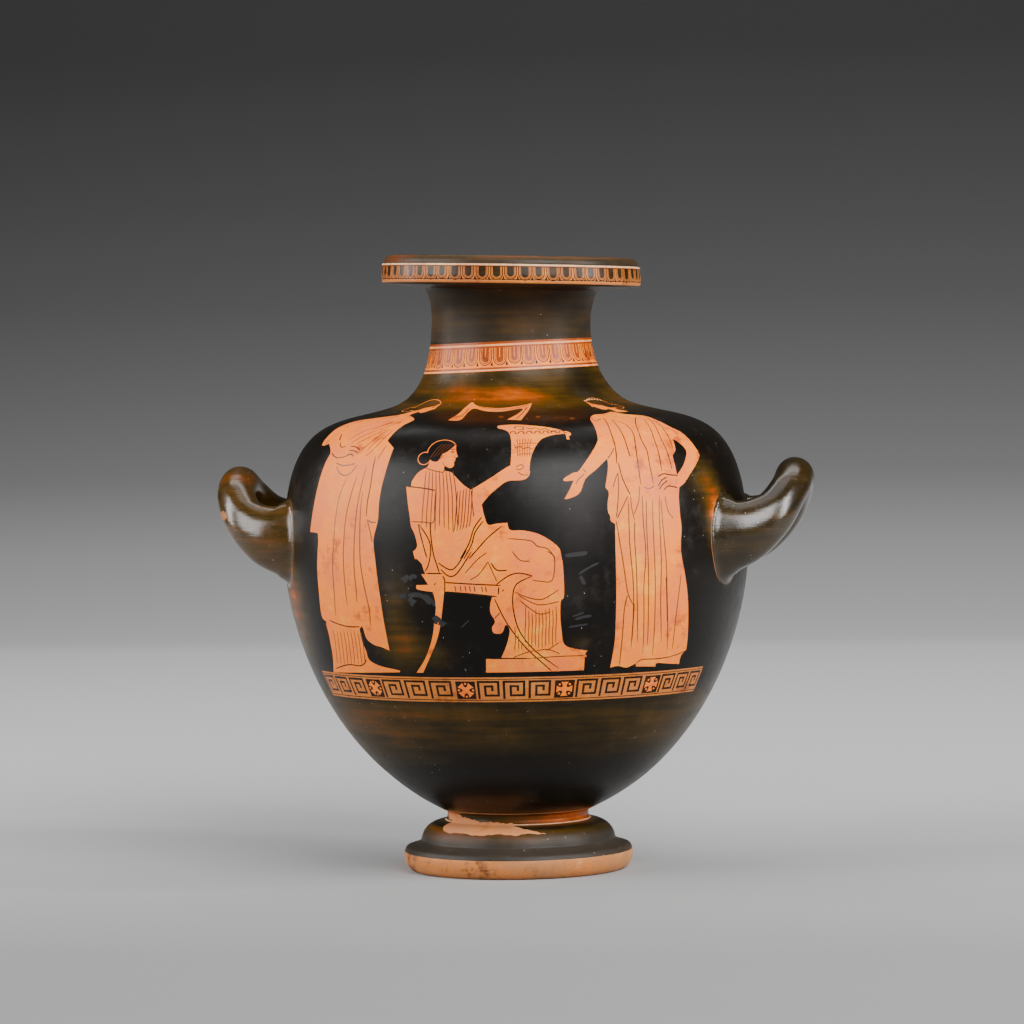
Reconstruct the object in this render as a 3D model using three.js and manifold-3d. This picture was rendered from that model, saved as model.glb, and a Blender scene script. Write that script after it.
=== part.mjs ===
// Hydria: a water jar of fired clay with two side handles for lifting and a back handle for
// pouring. The jar is thrown on the wheel and hollow right down to its floor, and it stands on a
// hollowed ring foot. Handles, body and foot are one fired piece.
// Millimetres, +Z up. The origin is the middle of the foot's resting ring, on the ground.
// The side handles lie along X, the painted front looks along -Y and the back handle is at +Y.

import * as THREE from "three";
import { mergeVertices } from "three/addons/utils/BufferGeometryUtils.js";
import Module from "manifold-3d";

// Foot, from the ground up
const footRestRadius = 68; // outer edge of the flat ring that it stands on
const footRestWidth = 12;
const footRadius = 75.2; // the rounded edge at its widest
const footEdgeHeight = 15.8;
const footStep = 1.6; // how far the upper face is set in from the edge
const footCollarRadius = 63.8; // bottom of the rounded collar under the stem
const footSlopeHeight = 3.7;
const footCollarHeight = 13.1;
const footHollowDepth = 23;
const footHollowTopRadius = 34;

// Stem between foot and body
const stemRadius = 46.3;
const stemHeight = 6;

// Body and neck
const bodyRadius = 151.74;
const bodyLowerHeight = 171.3; // stem to the widest place
const bodyUpperHeight = 94.2; // widest place to the bottom of the neck
const neckBaseRadius = 77.6;
const neckRadius = 51.8; // the neck at its narrowest
const neckHeight = 54.9; // bottom of the neck to its narrowest place
const neckFlareHeight = 20;
const neckTopRadius = 56.5; // where the neck meets the lip

// Lip
const lipRadius = 84.7;
const lipUndersideRise = 2.2;
const lipBandHeight = 13.4; // the outer band
const lipStep = 2; // how far the upper roll is set in from the band
const lipRollHeight = 5.5;
const lipTopInset = 6; // from the roll to the highest ring
const lipTilt = 1.8; // degrees, the lip sits a little askew and is lower at +X

// The turned pieces were joined a little off the middle, towards +X
const bodyOffset = 1.7;
const lipOffset = 1.3;

// Walls
const bodyWall = 6;
const neckWall = 5.6;
const floorThickness = 10; // between the hollow of the foot and the floor inside

// Side handles: round loops that curve up from two flared roots
const sideHandleThickness = 24.6;
const sideHandleRootRise = 9.5; // how far the roots' middle is above the widest place
const sideHandleHalfSpread = 47; // half the distance between the two roots
const sideHandleReach = 31.4; // from the widest body wall to the middle of the loop's tip
const rightHandleLift = 35.5; // the tip's rise over the roots at +X
const leftHandleLift = 34;
const sideRootHeight = 60;
const sideRootWidth = 42;

// Back handle: an upright strap from the shoulder to the neck
const backHandleWidth = 29;
const backHandleThickness = 14;
const backHandleReach = 42; // how far the strap's middle stands out from the neck's root
const backHandleLowerRadius = 104;
const backHandleBelowLip = 17; // the strap's middle under the lip

// Roundness of the turned surfaces and the handles
const turningSteps = 52;
const handleSides = 12;
const handleSteps = 18;

// Heights added up from the ground
const stemBottom = footEdgeHeight + footSlopeHeight + footCollarHeight;
const bodyBottom = stemBottom + stemHeight;
const widestHeight = bodyBottom + bodyLowerHeight;
const neckBase = widestHeight + bodyUpperHeight;
const neckNarrowest = neckBase + neckHeight;
const neckTop = neckNarrowest + neckFlareHeight;
const lipBottom = neckTop + lipUndersideRise;
const lipLedge = lipBottom + lipBandHeight;
const lipTop = lipLedge + lipRollHeight;

const degrees = Math.PI / 180;
const bodyStartSlope = 24.3 * degrees; // the body's rise where it leaves the stem
const shoulderSlope = 19.3 * degrees; // the shoulder's rise where it turns into the neck

// Points along a smooth cubic from a to d, without its first point
function cubic(a, b, c, d, steps) {
  const curve = new THREE.CubicBezierCurve(
    new THREE.Vector2(...a),
    new THREE.Vector2(...b),
    new THREE.Vector2(...c),
    new THREE.Vector2(...d),
  );
  return curve.getPoints(steps).slice(1);
}

// The body from the stem to the narrowest place of the neck, as [radius, height] curves
function bodyCurves() {
  const lower = 0.53 * bodyLowerHeight;
  const upper = bodyRadius - neckBaseRadius;
  const shoulder = 0.515 * upper;
  const turn = 0.368 * (neckBaseRadius - neckRadius);
  const cosine = Math.cos(shoulderSlope);
  const sine = Math.sin(shoulderSlope);
  return [
    [
      [stemRadius, bodyBottom],
      [stemRadius + lower * Math.cos(bodyStartSlope), bodyBottom + lower * Math.sin(bodyStartSlope)],
      [bodyRadius, widestHeight - 0.246 * bodyLowerHeight],
      [bodyRadius, widestHeight],
    ],
    [
      [bodyRadius, widestHeight],
      [bodyRadius, widestHeight + bodyUpperHeight],
      [neckBaseRadius + shoulder * cosine, neckBase - shoulder * sine],
      [neckBaseRadius, neckBase],
    ],
    [
      [neckBaseRadius, neckBase],
      [neckBaseRadius - turn * cosine, neckBase + turn * sine],
      [neckRadius, neckNarrowest - 0.72 * neckHeight],
      [neckRadius, neckNarrowest],
    ],
  ];
}

function bodyPoints(steps) {
  const points = [new THREE.Vector2(stemRadius, bodyBottom)];
  bodyCurves().forEach((curve, index) => {
    points.push(...cubic(...curve, steps[index]));
  });
  return points;
}

// The whole outer face from the resting ring up to the top of the lip
function outerPoints() {
  const footUpperRadius = footRadius - footStep - 2;
  return [
    new THREE.Vector2(footRestRadius, 0),
    ...cubic(
      [footRestRadius, 0],
      [footRadius - 0.7, 0.03 * footEdgeHeight],
      [footRadius + 1.8, 0.76 * footEdgeHeight],
      [footRadius - 2.2, footEdgeHeight],
      5,
    ),
    new THREE.Vector2(footUpperRadius, footEdgeHeight + 0.4),
    new THREE.Vector2(
      0.45 * footUpperRadius + 0.55 * footCollarRadius,
      footEdgeHeight + 0.38 * footSlopeHeight,
    ),
    new THREE.Vector2(footCollarRadius, footEdgeHeight + footSlopeHeight),
    ...cubic(
      [footCollarRadius, footEdgeHeight + footSlopeHeight],
      [footCollarRadius - 0.9, stemBottom - 0.47 * footCollarHeight],
      [footCollarRadius - 5.3, stemBottom - 0.02 * footCollarHeight],
      [stemRadius + 1.4, stemBottom],
      4,
    ),
    new THREE.Vector2(stemRadius - 0.2, stemBottom + 0.45 * stemHeight),
    ...bodyPoints([8, 9, 7]),
    ...cubic(
      [neckRadius, neckNarrowest],
      [neckRadius, neckNarrowest + 0.5 * neckFlareHeight],
      [neckTopRadius - 2, neckTop - 0.2 * neckFlareHeight],
      [neckTopRadius, neckTop],
      3,
    ),
    new THREE.Vector2(lipRadius - 2.2, lipBottom),
    new THREE.Vector2(lipRadius - 0.4, lipBottom + 1.6),
    new THREE.Vector2(lipRadius, lipBottom + 0.45 * lipBandHeight),
    new THREE.Vector2(lipRadius - 0.6, lipLedge),
    new THREE.Vector2(lipRadius - lipStep, lipLedge + 0.4),
    new THREE.Vector2(lipRadius - lipStep, lipLedge + 0.45 * lipRollHeight),
    new THREE.Vector2(lipRadius - lipStep - 1.8, lipTop - 0.12 * lipRollHeight),
    new THREE.Vector2(lipRadius - lipTopInset, lipTop),
  ];
}

// Points moved to the inner side of a curve that runs upward, square to it
function movedIn(points, distances) {
  return points.map((point, index) => {
    const before = points[Math.max(index - 1, 0)];
    const after = points[Math.min(index + 1, points.length - 1)];
    const along = new THREE.Vector2().subVectors(after, before).normalize();
    const inward = new THREE.Vector2(-along.y, along.x);
    return point.clone().addScaledVector(inward, distances(point));
  });
}

function wallAt(point) {
  return point.y < neckBase ? bodyWall : neckWall;
}

// The hollow that holds the water, from the floor up and out over the mouth
function insidePoints() {
  const wall = movedIn(bodyPoints([5, 6, 5]), wallAt);
  const floorHeight = footHollowDepth + floorThickness;
  const start = wall[0];
  const highest = wall[wall.length - 1];
  const trumpet = cubic(
    [highest.x, highest.y],
    [highest.x, highest.y + 0.62 * (lipTop - highest.y)],
    [highest.x + 0.45 * (lipRadius - lipTopInset - highest.x), lipTop - 1.2],
    [lipRadius - lipTopInset - 1.5, lipTop],
    5,
  );
  const above = lipTop + 10;
  return [
    new THREE.Vector2(0, floorHeight),
    new THREE.Vector2(0.55 * start.x, floorHeight + 0.3 * (start.y - floorHeight)),
    ...wall,
    ...trumpet,
    new THREE.Vector2(lipRadius - lipTopInset - 1.5, above),
    new THREE.Vector2(0, above),
  ];
}

// The hollow under the foot
function footHollowPoints() {
  const ringRadius = footRestRadius - footRestWidth;
  return [
    new THREE.Vector2(0, -5),
    new THREE.Vector2(ringRadius, -5),
    new THREE.Vector2(ringRadius, 0),
    new THREE.Vector2(ringRadius - 2.5, 0.35 * footHollowDepth),
    new THREE.Vector2(footHollowTopRadius + 4, 0.86 * footHollowDepth),
    new THREE.Vector2(footHollowTopRadius - 4, footHollowDepth),
    new THREE.Vector2(0, footHollowDepth),
  ];
}

// A turned solid about Z from [radius, height] points
function turned(points) {
  const lathe = new THREE.LatheGeometry(points, turningSteps);
  lathe.rotateX(Math.PI / 2);
  return lathe;
}

// The outer radius of the body at a height, read off its curves
function bodyRadiusAt(height) {
  const points = bodyPoints([40, 40, 40]);
  const above = points.findIndex((point) => point.y >= height);
  const upper = points[Math.max(above, 1)];
  const lower = points[Math.max(above, 1) - 1];
  const share = (height - lower.y) / (upper.y - lower.y);
  return lower.x + share * (upper.x - lower.x);
}

// A closed bar along a curve with an oval section. sectionAt gives its half height and half
// width at a share of the way, and levelAt a direction that the section's width follows.
function bar(curve, sectionAt, levelAt) {
  const positions = [];
  const indices = [];
  for (let step = 0; step <= handleSteps; step += 1) {
    const share = step / handleSteps;
    const centre = curve.getPoint(share);
    const along = curve.getTangent(share);
    const across = levelAt(along);
    const upward = new THREE.Vector3().crossVectors(across, along).normalize();
    const [halfHeight, halfWidth] = sectionAt(share);
    for (let side = 0; side < handleSides; side += 1) {
      const turn = (2 * Math.PI * side) / handleSides;
      const point = centre
        .clone()
        .addScaledVector(across, halfWidth * Math.cos(turn))
        .addScaledVector(upward, halfHeight * Math.sin(turn));
      positions.push(point.x, point.y, point.z);
    }
  }
  const ends = [curve.getPoint(0), curve.getPoint(1)];
  ends.forEach((end) => positions.push(end.x, end.y, end.z));
  const firstEnd = (handleSteps + 1) * handleSides;
  for (let side = 0; side < handleSides; side += 1) {
    const next = (side + 1) % handleSides;
    for (let step = 0; step < handleSteps; step += 1) {
      const here = step * handleSides;
      const there = here + handleSides;
      indices.push(here + side, there + side, there + next);
      indices.push(here + side, there + next, here + next);
    }
    const last = handleSteps * handleSides;
    indices.push(firstEnd, side, next);
    indices.push(firstEnd + 1, last + next, last + side);
  }
  const geometry = new THREE.BufferGeometry();
  geometry.setAttribute("position", new THREE.Float32BufferAttribute(positions, 3));
  geometry.setIndex(indices);
  return geometry;
}

// A side handle, on the +X side for side = 1 and on the -X side for side = -1
function sideHandle(side) {
  const rootHeight = widestHeight + sideHandleRootRise;
  const rootX = Math.sqrt(bodyRadiusAt(rootHeight) ** 2 - sideHandleHalfSpread ** 2);
  const out = bodyRadius + sideHandleReach - rootX;
  const tipLift = side > 0 ? rightHandleLift : leftHandleLift;
  // Each row: share of the spread, share of the way out, share of the lift
  const leg = [
    [0.97, -0.24, -0.05],
    [1.0, 0.0, 0.0],
    [1.0, 0.3, 0.07],
    [0.86, 0.68, 0.33],
    [0.5, 0.94, 0.76],
  ];
  const tip = [0, 1, 1];
  const otherLeg = leg.map(([spread, reach, lift]) => [-spread, reach, lift]).reverse();
  const points = [...leg, tip, ...otherLeg].map(([spread, reach, lift]) => {
    const x = side * (rootX + reach * out);
    const y = side * -spread * sideHandleHalfSpread;
    return new THREE.Vector3(x, y, rootHeight + lift * tipLift);
  });
  const half = sideHandleThickness / 2;
  const section = (share) => {
    const fromTip = Math.abs(2 * share - 1);
    const flare = Math.max(0, (fromTip - 0.1) / 0.9) ** 2.5;
    return [half + flare * (sideRootHeight / 2 - half), half + flare * (sideRootWidth / 2 - half)];
  };
  const up = new THREE.Vector3(0, 0, 1);
  const level = (along) => new THREE.Vector3().crossVectors(along, up).normalize();
  return bar(new THREE.CatmullRomCurve3(points), section, level);
}

// The back handle: from the shoulder outward and up, then over to the neck under the lip
function backHandle() {
  const topHeight = lipBottom - backHandleBelowLip;
  const lowerHeight = neckBase - (backHandleLowerRadius - neckBaseRadius) * Math.tan(shoulderSlope);
  const outermost = neckBaseRadius + backHandleReach;
  const rise = topHeight - lowerHeight;
  const span = outermost - neckRadius;
  // Each row: distance from the jar's axis, share of the rise
  const route = [
    [backHandleLowerRadius - 7, -0.2],
    [backHandleLowerRadius + 3, 0.05],
    [neckRadius + 0.95 * span, 0.33],
    [neckRadius + 0.98 * span, 0.6],
    [neckRadius + 0.87 * span, 0.84],
    [neckRadius + 0.63 * span, 0.985],
    [neckRadius + 0.36 * span, 1],
    [neckRadius + 0.13 * span, 0.94],
    [neckRadius - 4, 0.87],
  ];
  const points = route.map(([radius, share]) => {
    return new THREE.Vector3(0, radius, lowerHeight + share * rise);
  });
  const section = (share) => {
    const flare = Math.max(0, (Math.abs(2 * share - 1) - 0.6) / 0.4) ** 2;
    return [(1 + 0.35 * flare) * (backHandleThickness / 2), (1 + 0.3 * flare) * (backHandleWidth / 2)];
  };
  const sideways = new THREE.Vector3(1, 0, 0);
  return bar(new THREE.CatmullRomCurve3(points), section, () => sideways);
}

const wasm = await Module();
wasm.setup();

function asSolid(geometry) {
  const bare = geometry.clone();
  bare.deleteAttribute("normal");
  bare.deleteAttribute("uv");
  const merged = mergeVertices(bare, 0.001);
  const vertProperties = new Float32Array(merged.attributes.position.array);
  const triVerts = new Uint32Array(merged.index.array);
  return new wasm.Manifold(new wasm.Mesh({ numProp: 3, vertProperties, triVerts }));
}

// The body and the lip sit a little off the middle and the lip leans by lipTilt. The stem and
// the neck take this up smoothly.
function settle(positions) {
  const { smoothstep } = THREE.MathUtils;
  for (let index = 0; index < positions.length; index += 3) {
    const height = positions[index + 2];
    const onBody = smoothstep(height, stemBottom, bodyBottom + 0.15 * bodyLowerHeight);
    const offBody = smoothstep(height, neckBase - 0.1 * bodyUpperHeight, neckNarrowest);
    const onLip = smoothstep(height, neckBase + 0.4 * neckHeight, neckTop);
    positions[index + 2] -= onLip * positions[index] * Math.tan(lipTilt * degrees);
    positions[index] += bodyOffset * onBody * (1 - offBody) + lipOffset * onLip;
  }
}

function hydria() {
  const jar = asSolid(turned([new THREE.Vector2(0, 0), ...outerPoints(), new THREE.Vector2(0, lipTop)]));
  const handles = [sideHandle(1), sideHandle(-1), backHandle()].map(asSolid);
  const inside = asSolid(turned(insidePoints()));
  const underside = asSolid(turned(footHollowPoints()));
  const joined = handles.reduce((whole, handle) => whole.add(handle), jar);
  const hollowed = joined.subtract(inside).subtract(underside);
  const { vertProperties, triVerts } = hollowed.getMesh();
  const positions = new Float32Array(vertProperties);
  settle(positions);
  const geometry = new THREE.BufferGeometry();
  geometry.setAttribute("position", new THREE.BufferAttribute(positions, 3));
  geometry.setIndex(new THREE.BufferAttribute(new Uint32Array(triVerts), 1));
  geometry.computeVertexNormals();
  return geometry;
}

// Fired clay under a black gloss that has gone brown and olive where it is thin
const glossedClay = new THREE.MeshStandardMaterial({
  color: 0x2a211b,
  roughness: 0.32,
  metalness: 0,
});

const group = new THREE.Group();
const jarMesh = new THREE.Mesh(hydria(), glossedClay);
jarMesh.name = "hydria";
group.add(jarMesh);

export default group;
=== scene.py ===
# %% [markdown]
# # A red-figure hydria
# A hydria is a water jar: two side handles lift it and an upright handle at the back pours it.
# This one is thrown in orange clay and painted in red-figure. The background was filled in with a
# slip that fired black and glossy, and the figures were left in the colour of the clay. Inner
# lines were drawn with the same slip, thick for black lines and thinned for brown ones.
#
# The lesson builds the jar as one closed mesh. The outside is a sheet that carries the painting
# as faces of its own, so every painted edge stays crisp and nothing is raised that is only colour.

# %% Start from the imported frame
import math

import bmesh
import bpy
import numpy as np
from mathutils import Matrix, Vector
from mathutils.geometry import delaunay_2d_cdt


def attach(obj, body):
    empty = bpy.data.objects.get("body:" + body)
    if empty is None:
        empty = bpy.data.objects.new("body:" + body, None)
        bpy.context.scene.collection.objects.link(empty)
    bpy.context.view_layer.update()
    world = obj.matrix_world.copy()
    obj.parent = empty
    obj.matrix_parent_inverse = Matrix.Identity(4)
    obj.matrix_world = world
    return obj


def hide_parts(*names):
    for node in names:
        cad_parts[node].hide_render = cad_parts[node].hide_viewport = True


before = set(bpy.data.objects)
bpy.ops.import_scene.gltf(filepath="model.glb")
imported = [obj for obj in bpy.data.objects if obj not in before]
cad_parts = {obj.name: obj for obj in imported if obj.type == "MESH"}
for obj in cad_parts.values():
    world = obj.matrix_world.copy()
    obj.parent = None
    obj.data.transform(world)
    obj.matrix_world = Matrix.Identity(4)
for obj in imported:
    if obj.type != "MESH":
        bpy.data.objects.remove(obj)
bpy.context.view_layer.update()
MM = 0.001


def linear_colour(hex_text):
    """An sRGB hex value as the linear colour that shaders take."""
    channels = [int(hex_text[i : i + 2], 16) / 255 for i in (1, 3, 5)]
    straight = [c / 12.92 if c <= 0.04045 else ((c + 0.055) / 1.055) ** 2.4 for c in channels]
    return (*straight, 1.0)


# %% [markdown]
# ## Camera
# The jar is seen from three metres, a little above its neck, with a long lens. The camera stands
# eight degrees to the right of the painted front and is tipped by about one degree, which is why
# the jar seems to lean.

# %% Camera
CAMERA_DISTANCE = 3.0
CAMERA_HEIGHT = 0.3425
CAMERA_AZIMUTH = math.radians(8.0)
CAMERA_DOWN = math.radians(2.08)
CAMERA_ROLL = math.radians(-0.95)
CAMERA_SIDESTEP = 0.00065
SENSOR_MM = 36.0
LENS_MM = 161.3

camera_data = bpy.data.cameras.new("camera")
camera_data.sensor_width = SENSOR_MM
camera_data.lens = LENS_MM
camera_data.clip_end = 50.0
camera = bpy.data.objects.new("camera", camera_data)
bpy.context.scene.collection.objects.link(camera)
camera.location = (
    CAMERA_DISTANCE * math.sin(CAMERA_AZIMUTH) - CAMERA_SIDESTEP * math.cos(CAMERA_AZIMUTH),
    -CAMERA_DISTANCE * math.cos(CAMERA_AZIMUTH) - CAMERA_SIDESTEP * math.sin(CAMERA_AZIMUTH),
    CAMERA_HEIGHT,
)
aim = Vector((-math.sin(CAMERA_AZIMUTH), math.cos(CAMERA_AZIMUTH), -math.tan(CAMERA_DOWN)))
turn = aim.to_track_quat("-Z", "Y").to_matrix().to_4x4()
camera.rotation_euler = (turn @ Matrix.Rotation(CAMERA_ROLL, 4, "Z")).to_euler()
bpy.context.scene.camera = camera
print("camera at", [round(v, 3) for v in camera.location])

# %% [markdown]
# ## The turned outline
# A potter sees the jar as one outline that spins. It runs from the resting ring up over the foot,
# the stem, the full body, the shoulder and the neck to the top of the lip. The sizes below are in
# millimetres. Cubic curves join them, and small roundings keep each edge as soft as worn clay.

# %% Sizes of the jar in millimetres
FOOT_REST_RADIUS, FOOT_REST_WIDTH, FOOT_RADIUS = 68.0, 12.0, 75.2
FOOT_EDGE_HEIGHT, FOOT_STEP, FOOT_COLLAR_RADIUS = 15.8, 1.6, 63.8
FOOT_SLOPE_HEIGHT, FOOT_COLLAR_HEIGHT = 3.7, 13.1
FOOT_HOLLOW_DEPTH, FOOT_HOLLOW_TOP_RADIUS = 23.0, 34.0
STEM_RADIUS, STEM_HEIGHT = 46.3, 6.0
BODY_RADIUS, BODY_LOWER_HEIGHT, BODY_UPPER_HEIGHT = 151.74, 171.3, 94.2
NECK_BASE_RADIUS, NECK_RADIUS, NECK_HEIGHT = 77.6, 51.8, 54.9
NECK_FLARE_HEIGHT, NECK_TOP_RADIUS = 20.0, 56.5
LIP_RADIUS, LIP_UNDERSIDE_RISE, LIP_BAND_HEIGHT = 84.7, 2.2, 13.4
LIP_STEP, LIP_ROLL_HEIGHT, LIP_TOP_INSET = 2.0, 5.5, 6.0
LIP_TILT = math.radians(1.8)
BODY_OFFSET, LIP_OFFSET = 1.7, 1.3
BODY_WALL, NECK_WALL, FLOOR_THICKNESS = 6.0, 5.6, 10.0
BODY_START_SLOPE, SHOULDER_SLOPE = math.radians(24.3), math.radians(19.3)

STEM_BOTTOM = FOOT_EDGE_HEIGHT + FOOT_SLOPE_HEIGHT + FOOT_COLLAR_HEIGHT
BODY_BOTTOM = STEM_BOTTOM + STEM_HEIGHT
WIDEST = BODY_BOTTOM + BODY_LOWER_HEIGHT
NECK_BASE = WIDEST + BODY_UPPER_HEIGHT
NECK_NARROWEST = NECK_BASE + NECK_HEIGHT
NECK_TOP = NECK_NARROWEST + NECK_FLARE_HEIGHT
LIP_BOTTOM = NECK_TOP + LIP_UNDERSIDE_RISE
LIP_LEDGE = LIP_BOTTOM + LIP_BAND_HEIGHT
LIP_TOP = LIP_LEDGE + LIP_ROLL_HEIGHT

# %% Curves of the outline
def cubic(a, b, c, d, count):
    """Points on a cubic curve, without its first one."""
    t = np.linspace(0, 1, count + 1)[1:, None]
    a, b, c, d = (np.array(p, float) for p in (a, b, c, d))
    return (1 - t) ** 3 * a + 3 * t * (1 - t) ** 2 * b + 3 * t * t * (1 - t) * c + t**3 * d


def body_outline(count):
    lower = 0.53 * BODY_LOWER_HEIGHT
    shoulder = 0.515 * (BODY_RADIUS - NECK_BASE_RADIUS)
    turn_in = 0.368 * (NECK_BASE_RADIUS - NECK_RADIUS)
    cosine, sine = math.cos(SHOULDER_SLOPE), math.sin(SHOULDER_SLOPE)
    start = (STEM_RADIUS, BODY_BOTTOM)
    widest = (BODY_RADIUS, WIDEST)
    base = (NECK_BASE_RADIUS, NECK_BASE)
    rise = (
        STEM_RADIUS + lower * math.cos(BODY_START_SLOPE),
        BODY_BOTTOM + lower * math.sin(BODY_START_SLOPE),
    )
    over = (NECK_BASE_RADIUS + shoulder * cosine, NECK_BASE - shoulder * sine)
    under = (NECK_BASE_RADIUS - turn_in * cosine, NECK_BASE + turn_in * sine)
    return np.vstack([
        [start],
        cubic(start, rise, (BODY_RADIUS, WIDEST - 0.246 * BODY_LOWER_HEIGHT), widest, count),
        cubic(widest, (BODY_RADIUS, WIDEST + BODY_UPPER_HEIGHT), over, base, count),
        cubic(base, under, (NECK_RADIUS, NECK_NARROWEST - 0.72 * NECK_HEIGHT),
              (NECK_RADIUS, NECK_NARROWEST), count),
    ])


def outer_outline():
    upper = FOOT_RADIUS - FOOT_STEP - 2
    collar = FOOT_EDGE_HEIGHT + FOOT_SLOPE_HEIGHT
    return np.vstack([
        [(FOOT_REST_RADIUS, 0)],
        cubic((FOOT_REST_RADIUS, 0), (FOOT_RADIUS - 0.7, 0.03 * FOOT_EDGE_HEIGHT),
              (FOOT_RADIUS + 1.8, 0.76 * FOOT_EDGE_HEIGHT),
              (FOOT_RADIUS - 2.2, FOOT_EDGE_HEIGHT), 60),
        [(upper, FOOT_EDGE_HEIGHT + 0.4)],
        [(0.45 * upper + 0.55 * FOOT_COLLAR_RADIUS, FOOT_EDGE_HEIGHT + 0.38 * FOOT_SLOPE_HEIGHT)],
        [(FOOT_COLLAR_RADIUS, collar)],
        cubic((FOOT_COLLAR_RADIUS, collar),
              (FOOT_COLLAR_RADIUS - 0.9, STEM_BOTTOM - 0.47 * FOOT_COLLAR_HEIGHT),
              (FOOT_COLLAR_RADIUS - 5.3, STEM_BOTTOM - 0.02 * FOOT_COLLAR_HEIGHT),
              (STEM_RADIUS + 1.4, STEM_BOTTOM), 60),
        [(STEM_RADIUS - 0.2, STEM_BOTTOM + 0.45 * STEM_HEIGHT)],
        body_outline(200),
        cubic((NECK_RADIUS, NECK_NARROWEST), (NECK_RADIUS, NECK_NARROWEST + 0.5 * NECK_FLARE_HEIGHT),
              (NECK_TOP_RADIUS - 2, NECK_TOP - 0.2 * NECK_FLARE_HEIGHT),
              (NECK_TOP_RADIUS, NECK_TOP), 30),
        [(LIP_RADIUS - 2.2, LIP_BOTTOM), (LIP_RADIUS - 0.4, LIP_BOTTOM + 1.6)],
        [(LIP_RADIUS, LIP_BOTTOM + 0.45 * LIP_BAND_HEIGHT), (LIP_RADIUS - 0.6, LIP_LEDGE)],
        [(LIP_RADIUS - LIP_STEP, LIP_LEDGE + 0.4)],
        [(LIP_RADIUS - LIP_STEP, LIP_LEDGE + 0.45 * LIP_ROLL_HEIGHT)],
        [(LIP_RADIUS - LIP_STEP - 1.8, LIP_TOP - 0.12 * LIP_ROLL_HEIGHT)],
        [(LIP_RADIUS - LIP_TOP_INSET, LIP_TOP)],
    ])


def arc_lengths(points):
    steps = np.linalg.norm(np.diff(points, axis=0), axis=1)
    return np.concatenate([[0.0], np.cumsum(steps)])


def softened(points, spacing=0.25, width=0.55):
    """The outline at even steps, with its corners rounded as by a wet sponge."""
    arcs = arc_lengths(points)
    count = int(arcs[-1] / spacing) + 1
    even = np.linspace(0, arcs[-1], count)
    dense = np.column_stack([np.interp(even, arcs, points[:, i]) for i in (0, 1)])
    reach = int(3 * width / spacing)
    weights = np.exp(-0.5 * (np.arange(-reach, reach + 1) * spacing / width) ** 2)
    weights /= weights.sum()
    before = 2 * dense[0] - dense[reach:0:-1]
    after = 2 * dense[-1] - dense[-2 : -reach - 2 : -1]
    padded = np.vstack([before, dense, after])
    return np.column_stack([np.convolve(padded[:, i], weights, "valid") for i in (0, 1)])


OUTLINE = softened(outer_outline())
ARC = arc_lengths(OUTLINE)
SLOPE = np.gradient(OUTLINE, ARC, axis=0)
SLOPE /= np.linalg.norm(SLOPE, axis=1)[:, None]
print("outline of", round(ARC[-1], 1), "mm, widest", round(OUTLINE[:, 0].max(), 2), "mm")

# %% Places on the turned surface
BODY_PART = (OUTLINE[:, 1] > BODY_BOTTOM - 4) & (OUTLINE[:, 1] < NECK_TOP) & (ARC > 40)


def arc_at(height):
    """Arc length along the outline at a height between stem and lip."""
    return np.interp(height, OUTLINE[BODY_PART, 1], ARC[BODY_PART])


def radius_at_arc(arc):
    return np.interp(arc, ARC, OUTLINE[:, 0])


def height_at_arc(arc):
    return np.interp(arc, ARC, OUTLINE[:, 1])


def on_surface(angle, arc):
    """The point in millimetres at an angle from the front, towards +X, and an arc length."""
    radius = radius_at_arc(arc)
    height = height_at_arc(arc)
    return np.stack([radius * np.sin(angle), -radius * np.cos(angle), height], axis=-1)


def smoothstep(value, low, high):
    share = np.clip((value - low) / (high - low), 0, 1)
    return share * share * (3 - 2 * share)


def settled(points):
    """Body and lip sit a little off the middle, and the lip leans, as on the real jar."""
    points = np.array(points, float)
    height = points[..., 2].copy()
    on_body = smoothstep(height, STEM_BOTTOM, BODY_BOTTOM + 0.15 * BODY_LOWER_HEIGHT)
    off_body = smoothstep(height, NECK_BASE - 0.1 * BODY_UPPER_HEIGHT, NECK_NARROWEST)
    on_lip = smoothstep(height, NECK_BASE + 0.4 * NECK_HEIGHT, NECK_TOP)
    points[..., 2] -= on_lip * points[..., 0] * math.tan(LIP_TILT)
    points[..., 0] += BODY_OFFSET * on_body * (1 - off_body) + LIP_OFFSET * on_lip
    return points

# %% [markdown]
# ## The painting as a drawing
# The painting is drawn flat, as closed outlines in millimetres, and then wrapped round the jar.
# Each outline has a paint: the fired gloss, the reserved clay, a relief line, a thin brown wash
# or the added white. Later outlines lie over earlier ones, as brush strokes do.

# %% Drawing helpers
PAINTS = ["gloss", "clay", "line", "wash", "white", "bare", "foot", "amber", "scuff", "honey", "handle",
          "olive", "neck"]
SEAM = math.radians(135.0)
FULL_TURN = 2 * math.pi
COLUMNS = 180
SHEET_SCALE = 100.0
HIGH_SIDE = math.radians(98)
drawn = []


def lay(paint, outline):
    """Adds a closed outline of (angle, arc) points, turned to run anticlockwise."""
    outline = np.array(outline, float)
    x, y = outline[:, 0], outline[:, 1]
    area = np.sum(x * np.roll(y, -1) - np.roll(x, -1) * y)
    drawn.append((paint, outline if area > 0 else outline[::-1]))


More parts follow.
